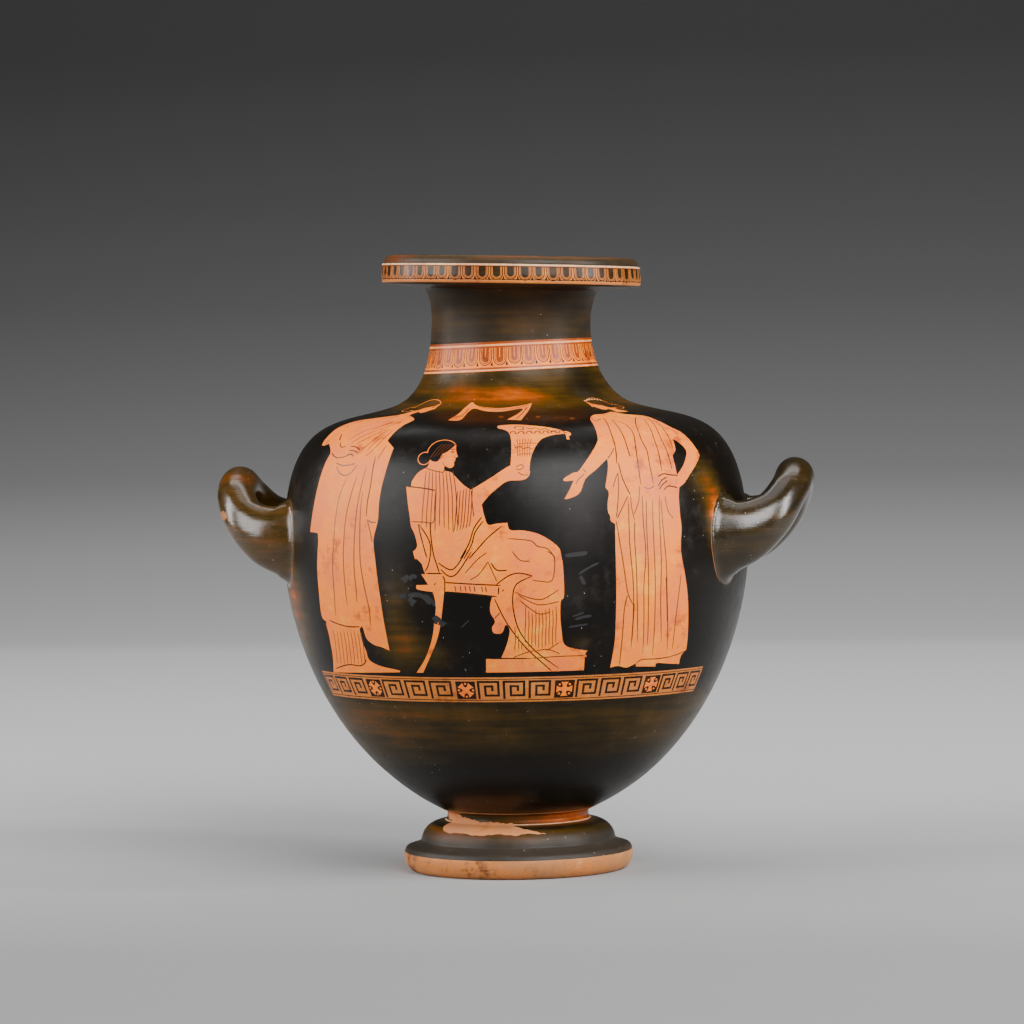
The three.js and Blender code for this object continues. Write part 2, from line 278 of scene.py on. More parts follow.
def curve(points, closed=False, per=5):
    """A smooth line through points. A point written twice is a corner."""
    points = np.array(points, float)
    count = len(points)
    result = []
    spans = count if closed else count - 1
    for i in range(spans):
        ends = [points[j % count] if closed else points[min(max(j, 0), count - 1)] for j in range(i - 1, i + 3)]
        a, b, c, d = ends
        if np.allclose(b, c):
            continue
        before = (c - a) / 2 * (0 if np.allclose(a, b) else 1)
        after = (d - b) / 2 * (0 if np.allclose(c, d) else 1)
        for t in np.arange(per) / per:
            weights = (2 * t**3 - 3 * t**2 + 1, t**3 - 2 * t**2 + t, -2 * t**3 + 3 * t**2, t**3 - t**2)
            result.append(weights[0] * b + weights[1] * before + weights[2] * c + weights[3] * after)
    if not closed:
        result.append(points[-1])
    return np.array(result)


def mitred(points, width):
    """The outline of a line with square corners, for the key pattern."""
    points = np.array(points, float)
    sides = [[], []]
    for i, point in enumerate(points):
        ahead = points[min(i + 1, len(points) - 1)] - points[min(i, len(points) - 2)]
        behind = points[max(i, 1)] - points[max(i - 1, 0)]
        ahead, behind = ahead / np.linalg.norm(ahead), behind / np.linalg.norm(behind)
        normal = np.array([-(ahead + behind)[1], (ahead + behind)[0]])
        normal /= np.linalg.norm(normal)
        reach = 0.5 * width / max(0.3, normal @ np.array([-ahead[1], ahead[0]]))
        sides[0].append(point + normal * reach)
        sides[1].append(point - normal * reach)
    return np.array(sides[0] + sides[1][::-1])


def wrapped(points, middle, ground):
    """Flat millimetres to the jar: x from the line at the angle middle, y up from an arc length."""
    points = np.array(points, float)
    arc = ground + points[:, 1]
    return np.column_stack([math.radians(middle) + points[:, 0] / radius_at_arc(arc), arc])


def ring(paint, low, high, sway=0.0):
    """A band right round the jar between two arc lengths. sway tilts it, high at HIGH_SIDE."""
    angles = SEAM - FULL_TURN + np.linspace(0, FULL_TURN, COLUMNS + 1)
    wave = sway * np.cos(angles - HIGH_SIDE)
    lower = np.column_stack([angles, low + wave])
    upper = np.column_stack([angles, high + wave])
    lay(paint, np.vstack([lower, upper[::-1]]))


FOOT_PART = ARC < arc_at(BODY_BOTTOM + 2)


def foot_arc(height):
    """Arc length at a height on the foot or the stem."""
    return np.interp(height, OUTLINE[FOOT_PART, 1], ARC[FOOT_PART])


def lip_arc(height):
    """Arc length on the lip's outer band at a height."""
    band = (ARC > ARC[np.argmax(OUTLINE[:, 1] > NECK_TOP + 1)]) & (OUTLINE[:, 1] > LIP_BOTTOM + 0.4)
    return np.interp(height, OUTLINE[band, 1], ARC[band])

# %% [markdown]
# ## Borders
# Three borders are painted round the jar. Tongues hang in a row on the lip and on the neck, and
# under the picture runs a key pattern whose turns stop at small squares with crosses. All of them
# are old workshop patterns, so they are drawn by loops.

# %% Borders
def tongue(half, length, steps=6):
    """The outline of one hanging tongue, from (0, 0) at its top."""
    bend = [(half * math.cos(a), -length + half * (1 + math.sin(a)))
            for a in np.linspace(0, -math.pi, 2 * steps + 1)]
    return np.array([(half, 0), *bend, (-half, 0)])


def tongue_row(count, top, length, half, sway, fill, contour, gap):
    """A row of tongues round the jar, each a stack of smaller and smaller tongues."""
    for k in range(count):
        middle = SEAM - FULL_TURN + (k + 0.5) * FULL_TURN / count
        lift = sway * math.cos(middle - HIGH_SIDE)
        wander = 0.35 * math.sin(7.3 * k) * math.sin(1.9 * k)
        size = 1 + 0.05 * math.sin(2.7 * k)
        ground = top + lift
        base = "honey" if fill == "olive" else "clay"
        rings = [("line", 0), (base, contour), ("wash", contour + 0.4 * gap),
                 (base, contour + 0.4 * gap + 0.4), (fill, contour + gap)]
        for paint, inset in rings:
            shape = tongue(half * size - inset, length * size - inset)
            shape[:, 0] += wander
            lay(paint, wrapped(shape, math.degrees(middle), ground))
        if fill == "amber":
            core = [(-0.35, 0), (0.35, 0), (0.3, -0.55 * length), (-0.3, -0.55 * length)]
            lay("clay", wrapped(core, math.degrees(middle), ground))
        if k == count - 1:
            continue
        dart = [(-0.9, 0), (0, 3.1 * size), (0.9, 0)]
        shift = math.pi * radius_at_arc(top) / count
        dart = [(x + shift, y - length - 0.1) for x, y in dart]
        lay("line", wrapped(dart, math.degrees(middle), ground))


LIP_TONGUES, NECK_TONGUES = 58, 36
lip_top_line = lip_arc(LIP_LEDGE - 0.5)
ring("honey", lip_arc(LIP_BOTTOM + 1.2), lip_arc(LIP_LEDGE - 0.2))
ring("white", lip_top_line - 0.5, lip_top_line + 0.6)
ring("line", lip_top_line - 1.4, lip_top_line - 0.9)
tongue_row(LIP_TONGUES, lip_top_line - 1.4, 8.4, 4.2, 0.0, "olive", contour=0.6, gap=1.25)
ring("line", lip_arc(LIP_BOTTOM + 3.2), lip_arc(LIP_BOTTOM + 3.7))

ring("foot", 0.3, foot_arc(FOOT_EDGE_HEIGHT - 3.2))
ring("white", foot_arc(STEM_BOTTOM + 0.2), foot_arc(STEM_BOTTOM + 0.8))
ring("white", foot_arc(BODY_BOTTOM + 1.5), foot_arc(BODY_BOTTOM + 2.0))
flake = [(-70, 39.5), (-62, 40.2), (-50, 39), (-44, 37), (-36, 36.4), (-28, 35.2), (-22, 34.4), (-12, 34.8),
         (-4, 34), (4, 34), (5, 32.5), (12, 31.2), (20, 29.4), (25, 28), (14, 28.6), (6, 27.6), (-6, 28.4),
         (-16, 27.2), (-28, 28.2), (-42, 28), (-50, 30), (-58, 33.5), (-66, 34), (-72, 36.5)]
flake = np.array([(math.radians(a), foot_arc(z)) for a, z in flake])
flake = curve(flake, True, 4)
flake[:, 1] += 0.35 * np.sin(2.4 * np.arange(len(flake))) + 0.2 * np.sin(5.1 * np.arange(len(flake)))
lay("bare", flake)

NECK_SWAY = 2.0
neck_top_line, neck_low_line = arc_at(343.2), arc_at(327.4)
ring("neck", neck_top_line - 3, lip_arc(LIP_BOTTOM + 1.2))
ring("clay", neck_low_line - 0.9, neck_top_line + 0.9, NECK_SWAY)
ring("white", neck_top_line - 0.2, neck_top_line + 0.4, NECK_SWAY)
ring("white", neck_low_line - 0.4, neck_low_line + 0.2, NECK_SWAY)
ring("line", neck_top_line - 1.0, neck_top_line - 0.6, NECK_SWAY)
tongue_row(NECK_TONGUES, neck_top_line - 1.6, 11.6, 4.3, NECK_SWAY, "amber", contour=0.55, gap=1.5)
ring("amber", neck_low_line + 0.5, neck_low_line + 1.7, NECK_SWAY)
ring("amber", neck_top_line - 1.7, neck_top_line - 0.6, NECK_SWAY)
ring("amber", neck_top_line + 1.0, neck_top_line + 2.2, NECK_SWAY)

KEY_LINE = 1.55
KEY_HEIGHT = 12.6
KEY_WIDTHS = (17.0, 17.6, 16.1, 16.0, 14.0)
KEY_LOW, KEY_HIGH = arc_at(119.0), arc_at(136.2)


def key_turn(left, width):
    path = [(0.06, 0.0), (0.06, 0.97), (0.84, 0.97), (0.84, 0.2), (0.32, 0.2), (0.32, 0.72), (0.6, 0.72),
            (0.6, 0.45)]
    return [(left + x * width, y * KEY_HEIGHT) for x, y in path]


def cross_square(left, upright):
    side = KEY_HEIGHT
    middle = left + side / 2
    lay("line", key_place([(left, 0), (left + side, 0), (left + side, side), (left, side)]))
    for k in range(4):
        angle = math.pi / 2 * k + (0 if upright else math.pi / 4)
        cosine, sine = math.cos(angle), math.sin(angle)
        arm = [(0.0, -1.5), (2.9, -1.2), (5.0, -2.4), (5.0, 2.4), (2.9, 1.2), (0.0, 1.5)]
        lay("clay", key_place([(middle + x * cosine - y * sine, side / 2 + x * sine + y * cosine)
                               for x, y in arm]))
        angle += math.pi / 4
        x, y = 4.6 * math.cos(angle), 4.6 * math.sin(angle)
        dot = [(middle + x + 0.8 * math.cos(a), side / 2 + y + 0.8 * math.sin(a))
               for a in np.linspace(0, FULL_TURN, 9)[:-1]]
        lay("clay", key_place(dot))


KEY_START, KEY_END = -60.8, 68.8


def key_place(points):
    radius = radius_at_arc((KEY_LOW + KEY_HIGH) / 2)
    return [(math.radians(KEY_START) + x / radius, KEY_LOW + 2.3 + y) for x, y in points]


key_length = math.radians(KEY_END - KEY_START) * radius_at_arc((KEY_LOW + KEY_HIGH) / 2)
band = np.linspace(0, key_length, 90)
for paint, low, high in (("honey", -2.3, 15.4), ("line", -1.15, -0.55), ("line", 13.75, 14.3)):
    edge = [(x, low) for x in band] + [(x, high) for x in band[::-1]]
    lay(paint, key_place(edge))
place = 0.6
for group, width in enumerate(KEY_WIDTHS):
    for _ in range(3):
        lay("line", key_place(mitred(key_turn(place, width), KEY_LINE)))
        place += width
    if place + KEY_HEIGHT < key_length:
        cross_square(place + 0.6, group in (2, 3))
        place += KEY_HEIGHT + 1.6
print("borders:", len(drawn), "outlines")

# %% [markdown]
# ## The picture
# A seated figure on a curved-leg chair holds up a basket between two standing figures in long
# cloaks. The picture keeps the jar's broad areas of orange on black. Places are written as degrees
# from the front and millimetres above the ground line, and the three heads share one plain
# profile built on the usual thirds of a face.

# %% Tools for the picture
GROUND = arc_at(138.5)


def eased(points, closed):
    """A smooth line through places on the jar, as angle and arc length."""
    points = np.array(points, float)
    return curve(np.column_stack([np.radians(points[:, 0]), GROUND + points[:, 1]]), closed, 4)


def fill(paint, points):
    lay(paint, eased(points, True))


def stroke(paint, width, points, smooth=True, tip=0.4):
    line = eased(points, False) if smooth else np.array(points, float)
    radius = radius_at_arc(line[:, 1])[:, None]
    flat = np.column_stack([line[:, 0] * radius[:, 0], line[:, 1]])
    along = np.gradient(flat, axis=0)
    along /= np.linalg.norm(along, axis=1)[:, None] + 1e-9
    share = np.linspace(0, 1, len(line))
    press = np.minimum(1, tip + 5 * np.minimum(share, 1 - share))[:, None]
    offset = 0.5 * width * press * np.column_stack([-along[:, 1], along[:, 0]])
    offset[:, 0] /= radius[:, 0]
    lay(paint, np.vstack([line + offset, (line - offset)[::-1]]))


def strokes(paint, width, *lines):
    """Several strokes with one brush."""
    for line in lines:
        stroke(paint, width, line)


def head(middle, base, size, facing, band=False):
    """A plain profile head. The origin is under the chin, near the jaw's corner."""
    def spot(points, closed=True, per=4):
        flat = curve(np.array(points, float) * size, closed, per)
        flat[:, 0] *= facing
        return wrapped(flat, middle, GROUND + base)

    hair = [(0.36, 0.84), (0.2, 0.98), (-0.04, 1.03), (-0.28, 0.95), (-0.44, 0.74), (-0.46, 0.52), (-0.34, 0.3),
            (-0.14, 0.24), (-0.04, 0.33), (0.02, 0.5), (0.16, 0.58), (0.28, 0.7)]
    bun = [(-0.55 + 0.2 * math.cos(a), 0.36 + 0.2 * math.sin(a)) for a in np.linspace(0, FULL_TURN, 17)[:-1]]
    around = [(1.055 * x, 0.62 + 1.055 * (y - 0.62)) for x, y in hair]
    rounded = [(-0.55 + 1.13 * (x + 0.55), 0.36 + 1.13 * (y - 0.36)) for x, y in bun]
    face = [(0.36, 0.86), (0.415, 0.72), (0.44, 0.62), (0.5, 0.47), (0.525, 0.42), (0.5, 0.385), (0.45, 0.375),
            (0.475, 0.325), (0.46, 0.3), (0.465, 0.26), (0.43, 0.215), (0.45, 0.13), (0.4, 0.05), (0.3, 0.03),
            (0.16, 0.1), (0.14, -0.12), (0.16, -0.3), (-0.3, -0.3), (-0.2, 0.0), (-0.2, 0.24), (-0.2, 0.5),
            (0.0, 0.75)]
    for paint, shape in (("clay", around), ("clay", rounded), ("clay", face), ("gloss", hair), ("gloss", bun)):
        lay(paint, spot(shape))
    for k in range(5):
        lean = 0.11 * k
        lay("wash", spot([(-0.345 + lean, 0.38 + 0.04 * k), (-0.2 + lean, 0.66), (-0.05 + lean, 0.86),
                          (-0.08 + lean, 0.86), (-0.23 + lean, 0.66), (-0.365 + lean, 0.38 + 0.04 * k)]))
    for paint, width, line in (
        ("line", 0.5, [(0.26, 0.655), (0.34, 0.675), (0.405, 0.655)]),
        ("line", 0.5, [(0.27, 0.575), (0.33, 0.59), (0.395, 0.575)]),
        ("line", 0.36, [(0.29, 0.545), (0.34, 0.535), (0.385, 0.545)]),
        ("line", 0.7, [(0.35, 0.568), (0.352, 0.55)]),
        ("wash", 0.4, [(0.44, 0.385), (0.425, 0.405)]),
        ("line", 0.45, [(0.47, 0.288), (0.41, 0.28)]),
        ("wash", 0.4, [(0.3, 0.03), (0.16, 0.1), (0.06, 0.22)]),
        ("wash", 0.4, [(-0.03, 0.46), (0.03, 0.44), (0.0, 0.36), (-0.04, 0.37)]),
    ):
        stroke(paint, width, spot(line, False), smooth=False)
    if band:
        for k in range(7):
            x, y = 0.38 - 0.115 * k, 0.9 + 0.07 * math.sin(0.5 * k)
            lay("white", spot([(x + 0.035 * math.cos(a), y + 0.035 * math.sin(a))
                               for a in np.linspace(0, FULL_TURN, 7)[:-1]], True, 1))

# %% Heads
head(-38.0, 197.0, 22.0, 1)
head(-11.1, 130.3, 20.5, 1)
head(53.0, 197.0, 21.0, -1, band=True)
print("picture:", len(drawn), "outlines")

# %% [markdown]
# ### The left figure
# A standing figure bends forward under a long cloak. A picture could be laid on instead, but outlines
# of a few dozen places stay sharp at any size. The broad shape comes first, then the folds: black ones
# with thick slip and brown ones with thinned slip, as a painter would draw them.

# %% Standing figure on the left
fill("clay", [(-57.5, 147), (-59.4, 157.7), (-60.2, 166.6), (-57.4, 176.3), (-49.5, 183.8), (-40.4, 192.1),
    (-36.9, 192.1), (-28.3, 180.6), (-28.4, 169.5), (-28.8, 159.9), (-29.1, 151.4), (-29.1, 151.4),
    (-25.8, 145.3), (-25.8, 145.3), (-25.9, 137.6), (-26.2, 128.6), (-26.7, 118.7), (-27, 108.9), (-27, 99.3),
    (-27.5, 92.9), (-28.2, 86.5), (-28.2, 81.4), (-27.7, 71.2), (-27.3, 58.3), (-27, 46.6), (-26.9, 33.3),
    (-26.8, 23.2), (-26.8, 14), (-26.8, 14), (-29.1, 16.3), (-31.3, 17.5), (-33.5, 21.4), (-34, 28.2),
    (-34.5, 30.1), (-34.5, 30.1), (-36, 28.9), (-42.3, 28.8), (-48, 31.6), (-48, 31.6), (-49.6, 33.4),
    (-49.9, 38.1), (-49.2, 51.5), (-48.9, 64.7), (-48.5, 74.5), (-48.1, 84.2), (-48.4, 88.7), (-48.4, 88.7),
    (-52.1, 89.1), (-52.1, 89.1), (-51.4, 101.5), (-50.7, 114), (-50.3, 124.7), (-50, 134.4), (-49.7, 141.7),
    (-53.6, 148.4), (-53.6, 148.4)])
fill("clay", [(-47.9, 32.3), (-41.3, 30.2), (-34.8, 30.1), (-35.3, 27.4), (-35.3, 19.2), (-34.7, 13.1),
    (-34.4, 7.2), (-31.3, 3.4), (-27.4, 1.6), (-25, 0.5), (-25.2, -0.7), (-25.2, -0.7), (-52.6, -3.6),
    (-52.6, -3.6), (-49.9, 7.2), (-48.6, 20.6)])
strokes("line", 0.8, [(-46.8, 32.7), (-42.9, 30.4), (-39, 29.1), (-35.1, 29.4)], [(-30.7, 139.1),
        (-30.3, 126.6), (-30.2, 118.6), (-30.6, 108.9), (-30.6, 99.8)], [(-50.6, -0.8), (-43.6, 2.9),
        (-38.6, 2.7), (-36.2, 5.2), (-35.6, 7.8)])
strokes("wash", 0.8, [(-35.2, 125.2), (-36.3, 113.3), (-37.4, 99), (-37.9, 83.5), (-38.1, 71.9),
        (-38.1, 57.7), (-38.2, 42.5)], [(-32.8, 132), (-33.2, 118.6), (-33.8, 105.6), (-34.1, 92.7),
        (-34.3, 85), (-34.5, 68.9), (-34.4, 52.7), (-34.7, 45.4)], [(-32.5, 115.3), (-32.6, 102.4),
        (-32.5, 86.3), (-32.4, 72.2), (-32, 62.6), (-31.3, 49.6), (-30.9, 39.7), (-31.4, 29.7)],
        [(-38.5, 125.1), (-40.2, 115.1), (-41.2, 98.8), (-41.6, 83.3), (-42.2, 68.4), (-42.5, 52.1),
        (-43.4, 36.1)], [(-49.1, 141.6), (-46, 138.1), (-42.5, 138.6), (-39.5, 141.6)], [(-44.8, 134.2),
        (-41.2, 132.5), (-37.1, 134)], [(-44.3, 132.4), (-42.6, 128.3), (-40.2, 126), (-37.7, 127.8),
        (-36.2, 133.3)], [(-41.8, 146.6), (-39.7, 146.2), (-37.3, 143.9)], [(-41.7, 143.4), (-39.5, 143.1),
        (-37.4, 141.2)], [(-41.5, 140.4), (-40, 140.3), (-38.5, 139.1)], [(-30.4, 97.9), (-29, 96.4),
        (-27.6, 96.4)], [(-30.2, 97.3), (-29.2, 89.6), (-28.6, 83.9)], [(-47.8, 149.8), (-47, 147.3),
        (-45.4, 145.7), (-44, 146.6)])
strokes("wash", 0.6, [(-45.1, 151.7), (-41.3, 161.1), (-37.1, 168), (-34.1, 177.2)], [(-42.6, 149.1),
        (-38.8, 157.7), (-34.5, 165), (-32.1, 176.8)], [(-39.9, 148.7), (-36.4, 155.6), (-32.7, 163.7)],
        [(-36.8, 143.5), (-34.3, 151.8), (-31.5, 163.7)], [(-34.3, 139), (-31.7, 147.5), (-29.9, 163.6)],
        [(-29.7, 136.9), (-29.2, 142), (-28.5, 147.5)], [(-34.5, 143.5), (-33.1, 150.1), (-31.5, 157.7)])
stroke("line", 1.3, [(-51.2, 157.2), (-50.2, 154.2), (-49.3, 151.4)])
strokes("wash", 0.6, [(-45.9, 26.4), (-46.4, 18.1), (-47.5, 9.6), (-48.7, 2.8)], [(-44.4, 26), (-44.8, 18.3),
        (-45.8, 9.8), (-46.9, 3)], [(-43, 25.6), (-43.3, 18.4), (-44.2, 10), (-45.2, 3.2)], [(-41.4, 26.8),
        (-41.8, 18.6), (-42.6, 10.2), (-43.6, 3.4)], [(-40.1, 26.4), (-40.4, 18.7), (-41.1, 10.4),
        (-42, 3.6)], [(-38.8, 26), (-39, 18.9), (-39.7, 10.5), (-40.6, 3.7)], [(-37.4, 27.2), (-37.7, 19),
        (-38.3, 10.6), (-39.1, 3.9)], [(-36.2, 26.8), (-36.4, 19.1), (-37, 10.8), (-37.7, 4)], [(-35, 26.3),
        (-35.1, 19.2), (-35.7, 10.9), (-36.4, 4.2)])
print("left figure:", len(drawn), "outlines so far")

# %% [markdown]
# ### The seated figure
# The figure, the chair with curved legs and the footstool overlap, so they are laid from back to front.
# Each is a flat shape of reserved clay, and thin lines part them.

# %% Chair and seated figure
fill("clay", [(-13.8, 135.7), (-14.4, 132), (-16.5, 128.6), (-17.8, 124.1), (-18.3, 119.2), (-18, 97.1),
    (-16.7, 88.7), (-16.1, 81.5), (-17.2, 78.3), (-17.2, 78.3), (-16.7, 73.6), (-16.3, 73.6), (-15, 70.5),
    (-14.4, 65.7), (-12.9, 59.3), (-9.4, 58.3), (-2.8, 57.2), (3.6, 56.2), (2, 49.4), (1.4, 40.5),
    (2.5, 33.9), (1.7, 29.7), (2.2, 26.2), (4.1, 26.3), (5, 31.3), (5.7, 30.4), (6, 26.3), (5, 17),
    (3.7, 9.8), (3.7, 9.8), (13.7, 8.9), (25, 8.7), (25.3, 11), (25.9, 13.2), (25.9, 13.2), (22.8, 14.6),
    (19.7, 17.9), (18.8, 28), (18.4, 38), (18.5, 46.2), (19.2, 48.6), (19.2, 58.2), (18.9, 70.2), (18.7, 73),
    (18.2, 79), (16.7, 83), (14.6, 86.7), (12.5, 89.2), (9.5, 90.9), (6.6, 91.3), (6, 95.8), (6, 95.8),
    (3.5, 95.4), (1.4, 94.8), (0.5, 100.4), (-0.1, 107.4), (-0.1, 107.4), (1.7, 113.1), (4.2, 118.7),
    (6.3, 122), (9.8, 122.5), (11.3, 124.9), (11.7, 128.2), (11.7, 128.2), (7, 132.2), (7, 132.2),
    (5.7, 130.6), (1.7, 123.7), (-2.8, 116.7), (-2.8, 116.7), (-4.6, 119.8), (-6.6, 124.7), (-8, 128.1),
    (-10.1, 129.6), (-10.6, 133.2)])
fill("clay", [(3.2, 166.6), (3.3, 163), (3.3, 163), (5.9, 159.9), (7, 152.8), (7.1, 141.5), (6.9, 132.2),
    (6.9, 132.2), (11.5, 125.3), (11.5, 125.3), (11.8, 134.2), (13, 143.1), (15.3, 151.2), (18.7, 154.8),
    (22, 155.8), (22, 155.8), (22.1, 158.7), (17.5, 163.7), (12, 166.8), (7.4, 168)])
fill("clay", [(-16.6, 57.2), (-16.6, 57.2), (-16.7, 55.2), (-16, 54.2), (-12.9, 53), (-9.5, 52.8),
    (-2.9, 51.6), (3.2, 49.8), (3.2, 49.8), (3.7, 57), (3.7, 57), (-2.8, 57.8), (-9.3, 58.9), (-12.9, 57.5)])
fill("clay", [(-15.2, 64.1), (-15.2, 64.1), (-13.4, 56.8), (-12.3, 51.2), (-12, 43), (-12.7, 34),
    (-13.9, 22.2), (-16.5, 9.3), (-19.9, -0.7), (-19.9, -0.7), (-17.9, -0.6), (-17.9, -0.6), (-14.9, 11.1),
    (-12.5, 22.2), (-11, 34), (-9.7, 51.2), (-9.3, 60.1), (-9.7, 64.4), (-9.7, 64.4)])
fill("clay", [(-0.2, 9), (-0.2, 9), (-0.5, -0.3), (-0.5, -0.3), (25.4, -0.1), (25.4, -0.1), (25.3, 9.9),
    (25.3, 9.9)])
fill("clay", [(-19.6, 119.2), (-19.6, 119.2), (-17.9, 96.9), (-17.9, 96.9), (-11.9, 96.7), (-11.9, 96.7),
    (-11.6, 116.5), (-11.6, 116.5)])
strokes("line", 0.8, [(-19.6, 119.2), (-15.7, 118.2), (-11.6, 116.5)], [(-13.9, 64.6), (-9.7, 64.4)],
        [(-9.8, 62.9), (-9.3, 60.1), (-9.5, 52.8)], [(-9.3, 58.9), (-2.8, 57.8), (4.2, 56.8)], [(-9.5, 53),
        (-2.9, 51.6), (3.2, 49.7)], [(3.7, 55.8), (3.5, 51)], [(-0, 9.3), (11.4, 9)], [(2.6, 48.4),
        (5.5, 32.1), (10.4, 15.1), (16.8, -0)], [(11.7, 62.3), (8.1, 57.9), (7, 50.9), (7.1, 40.3), (8.5, 27),
        (12.3, 14.1), (18.6, 1.8)], [(3.1, 57.3), (6, 62.7), (8.7, 64.3), (11.7, 62.3)])
strokes("wash", 0.65, [(-11.6, 116.5), (-11.7, 106.2), (-11.9, 96.7), (-14.6, 96.7), (-17.9, 96.9)],
        [(11.4, 9), (18.3, 9.9), (25.3, 9.9)], [(12.7, 14.1), (15.6, 14.8), (18.6, 11.6)], [(6.8, 9.7),
        (9.1, 12.2), (12, 14.1)], [(15.2, 13.9), (18.4, 19.3)], [(2.4, 35.5), (3.8, 39.6)], [(1, 77.4),
        (-1.4, 72.7), (-4.3, 64.4)], [(1.3, 71.9), (-0.9, 64), (-3.1, 60.4)], [(7, 78), (8.8, 72.4),
        (11, 71.7)], [(1.3, 71.5), (2.4, 64.7), (3.3, 59.1)], [(11.7, 59.9), (13.5, 59), (16.4, 59.6),
        (16.9, 73.5), (15.1, 77.6)], [(7.5, 52.5), (10.5, 48.9), (14.1, 47.6), (17.9, 53.5)], [(8.2, 50.8),
        (12.9, 44.1), (18.1, 46)], [(8.6, 47.2), (12.9, 38.4), (16, 39.6)])
strokes("line", 0.8, [(2, 71.1), (3.3, 66.4), (5.7, 66.3)], [(-0.1, 99.5), (-2, 92.5), (-3.2, 83),
        (-5.4, 73.6)], [(0.3, 97.2), (-1.7, 90.1), (-2.6, 82.2), (-4.5, 73.5)], [(4.7, 93.9), (1.4, 86.9),
        (-1.1, 79.8), (-3.3, 73.5)], [(-10.2, 67.3), (-8.3, 62.9), (-6.1, 64.9), (-2.6, 78.3)],
        [(-10.8, 71.3), (-8, 66.9), (-6.1, 69.6), (-3.8, 79.1)], [(-15.8, 95.5), (-15.2, 88.7), (-13.6, 74)],
        [(-15.6, 95.1), (-13.4, 87.1), (-12.6, 80), (-13.2, 70.5), (-14.2, 65.7)], [(-12.8, 95.9),
        (-12.5, 86.3), (-11.9, 76), (-11.2, 70.5), (-10.5, 64.1)])
strokes("wash", 0.65, [(-14.9, 131.2), (-13.5, 129.9), (-10.2, 128.1), (-9.8, 130.2)], [(-2.7, 116.5),
        (-2.4, 108.4), (-2, 99.7)], [(5.9, 85.9), (8.6, 85.4), (11.6, 84.1), (13, 80.8), (15.4, 79.1),
        (17.2, 73.1)], [(19.6, 114.7), (19.6, 114.6)])
strokes("wash", 0.6, [(-14.6, 129.5), (-14.6, 115.9), (-14.8, 103), (-14.9, 94.3)], [(-13.7, 129.1),
        (-13.5, 115.9), (-13.7, 102.2), (-13.7, 93)], [(-12.9, 129.4), (-12.5, 115.9), (-12.6, 101.4),
        (-12.6, 91.7)], [(-12, 129.1), (-11.5, 115.9), (-11.5, 103), (-11.5, 90.5)], [(-11.1, 129.4),
        (-10.5, 115.8), (-10.4, 102.2), (-10.4, 94.3)], [(-10.2, 129.1), (-9.5, 115.8), (-9.3, 101.4),
        (-9.2, 93)], [(-9.4, 129.4), (-8.5, 115.8), (-8.2, 103), (-8.1, 91.7)], [(-8.5, 129), (-7.5, 115.8),
        (-7.2, 102.2), (-7, 90.4)], [(-7.6, 129.3), (-6.5, 115.8), (-6.1, 101.4), (-5.9, 94.2)],
        [(-6.1, 115.8), (-6.3, 104.5), (-6.6, 94.2), (-6.9, 90.2)], [(-5.4, 116.4), (-5.6, 104.5),
        (-5.8, 94.7), (-6.2, 90.9)], [(-4.6, 117), (-4.8, 104.5), (-5.1, 95.1), (-5.4, 91.5)], [(-3.9, 117.6),
        (-4.1, 104.5), (-4.4, 95.6), (-4.7, 92.1)], [(-3.1, 118.3), (-3.3, 104.5), (-3.6, 96.1),
        (-3.9, 92.7)], [(-2.4, 118.9), (-2.6, 104.5), (-2.9, 96.5), (-3.2, 93.4)])
strokes("wash", 0.55, [(7.3, 30.4), (7.4, 22), (7.1, 14.4), (7.3, 16.1)], [(8.1, 25.3), (8.2, 16.9), (8, 9.2),
        (8.1, 16)], [(8.9, 20.3), (9, 11.7), (8.8, 3.9), (9, 16)], [(9.9, 43.4), (10, 35.2), (9.8, 27.8),
        (9.8, 19.4)], [(10.7, 40.4), (10.8, 32.1), (10.6, 24.6), (10.7, 16.2)], [(11.5, 39.3), (11.6, 31.1),
        (11.5, 23.6), (11.5, 15.9)], [(12.4, 41.3), (12.5, 33), (12.3, 25.5), (12.4, 17.1)], [(13.2, 40.2),
        (13.3, 32), (13.2, 24.5), (13.2, 16)], [(14, 39.2), (14.2, 30.9), (14, 23.4), (14.1, 15.7)],
        [(14.8, 41.1), (15, 32.9), (14.9, 25.4), (14.9, 17)], [(15.7, 42.1), (15.8, 33.9), (15.7, 26.4),
        (15.8, 18)], [(16.5, 41.1), (16.7, 32.8), (16.6, 25.4), (16.7, 16.9)], [(17.3, 43), (17.5, 34.8),
        (17.4, 27.3), (17.5, 18.9)])
strokes("wash", 0.7, [(-6.9, 56.8), (-6.7, 53.2)], [(-5.6, 56.8), (-5.4, 53.1)], [(-4.4, 56.7), (-4.2, 53)],
        [(-3.3, 56.6), (-3.1, 52.9)], [(-2.2, 56.5), (-2, 52.8)], [(-0.4, 56.3), (-0.2, 52.7)], [(0.5, 56.2),
        (0.7, 52.6)])
strokes("line", 1.7, [(-11.9, 58.1), (-11.7, 57.7)], [(4.6, 53.8), (4.8, 53.3)])
strokes("wash", 0.7, [(8.3, 162), (8.3, 165.3), (10.4, 164.3), (10.5, 161.1), (8.9, 161.6)], [(11.3, 163.7),
        (12.9, 161.7), (14.1, 163.1), (15.5, 160.7), (17, 161.6), (18.6, 158.3), (20.5, 159.6)],
        [(7.9, 147.3), (8.4, 144.3), (9.4, 145.8), (10.2, 143.8), (11.4, 144.7), (12.8, 143.3)])
strokes("line", 0.5, [(8.1, 130.7), (9.5, 132.6), (10.1, 131), (9.4, 129.5), (8.1, 129.4)], [(8.7, 127.9),
        (9.8, 125.8), (11.2, 125.9)])
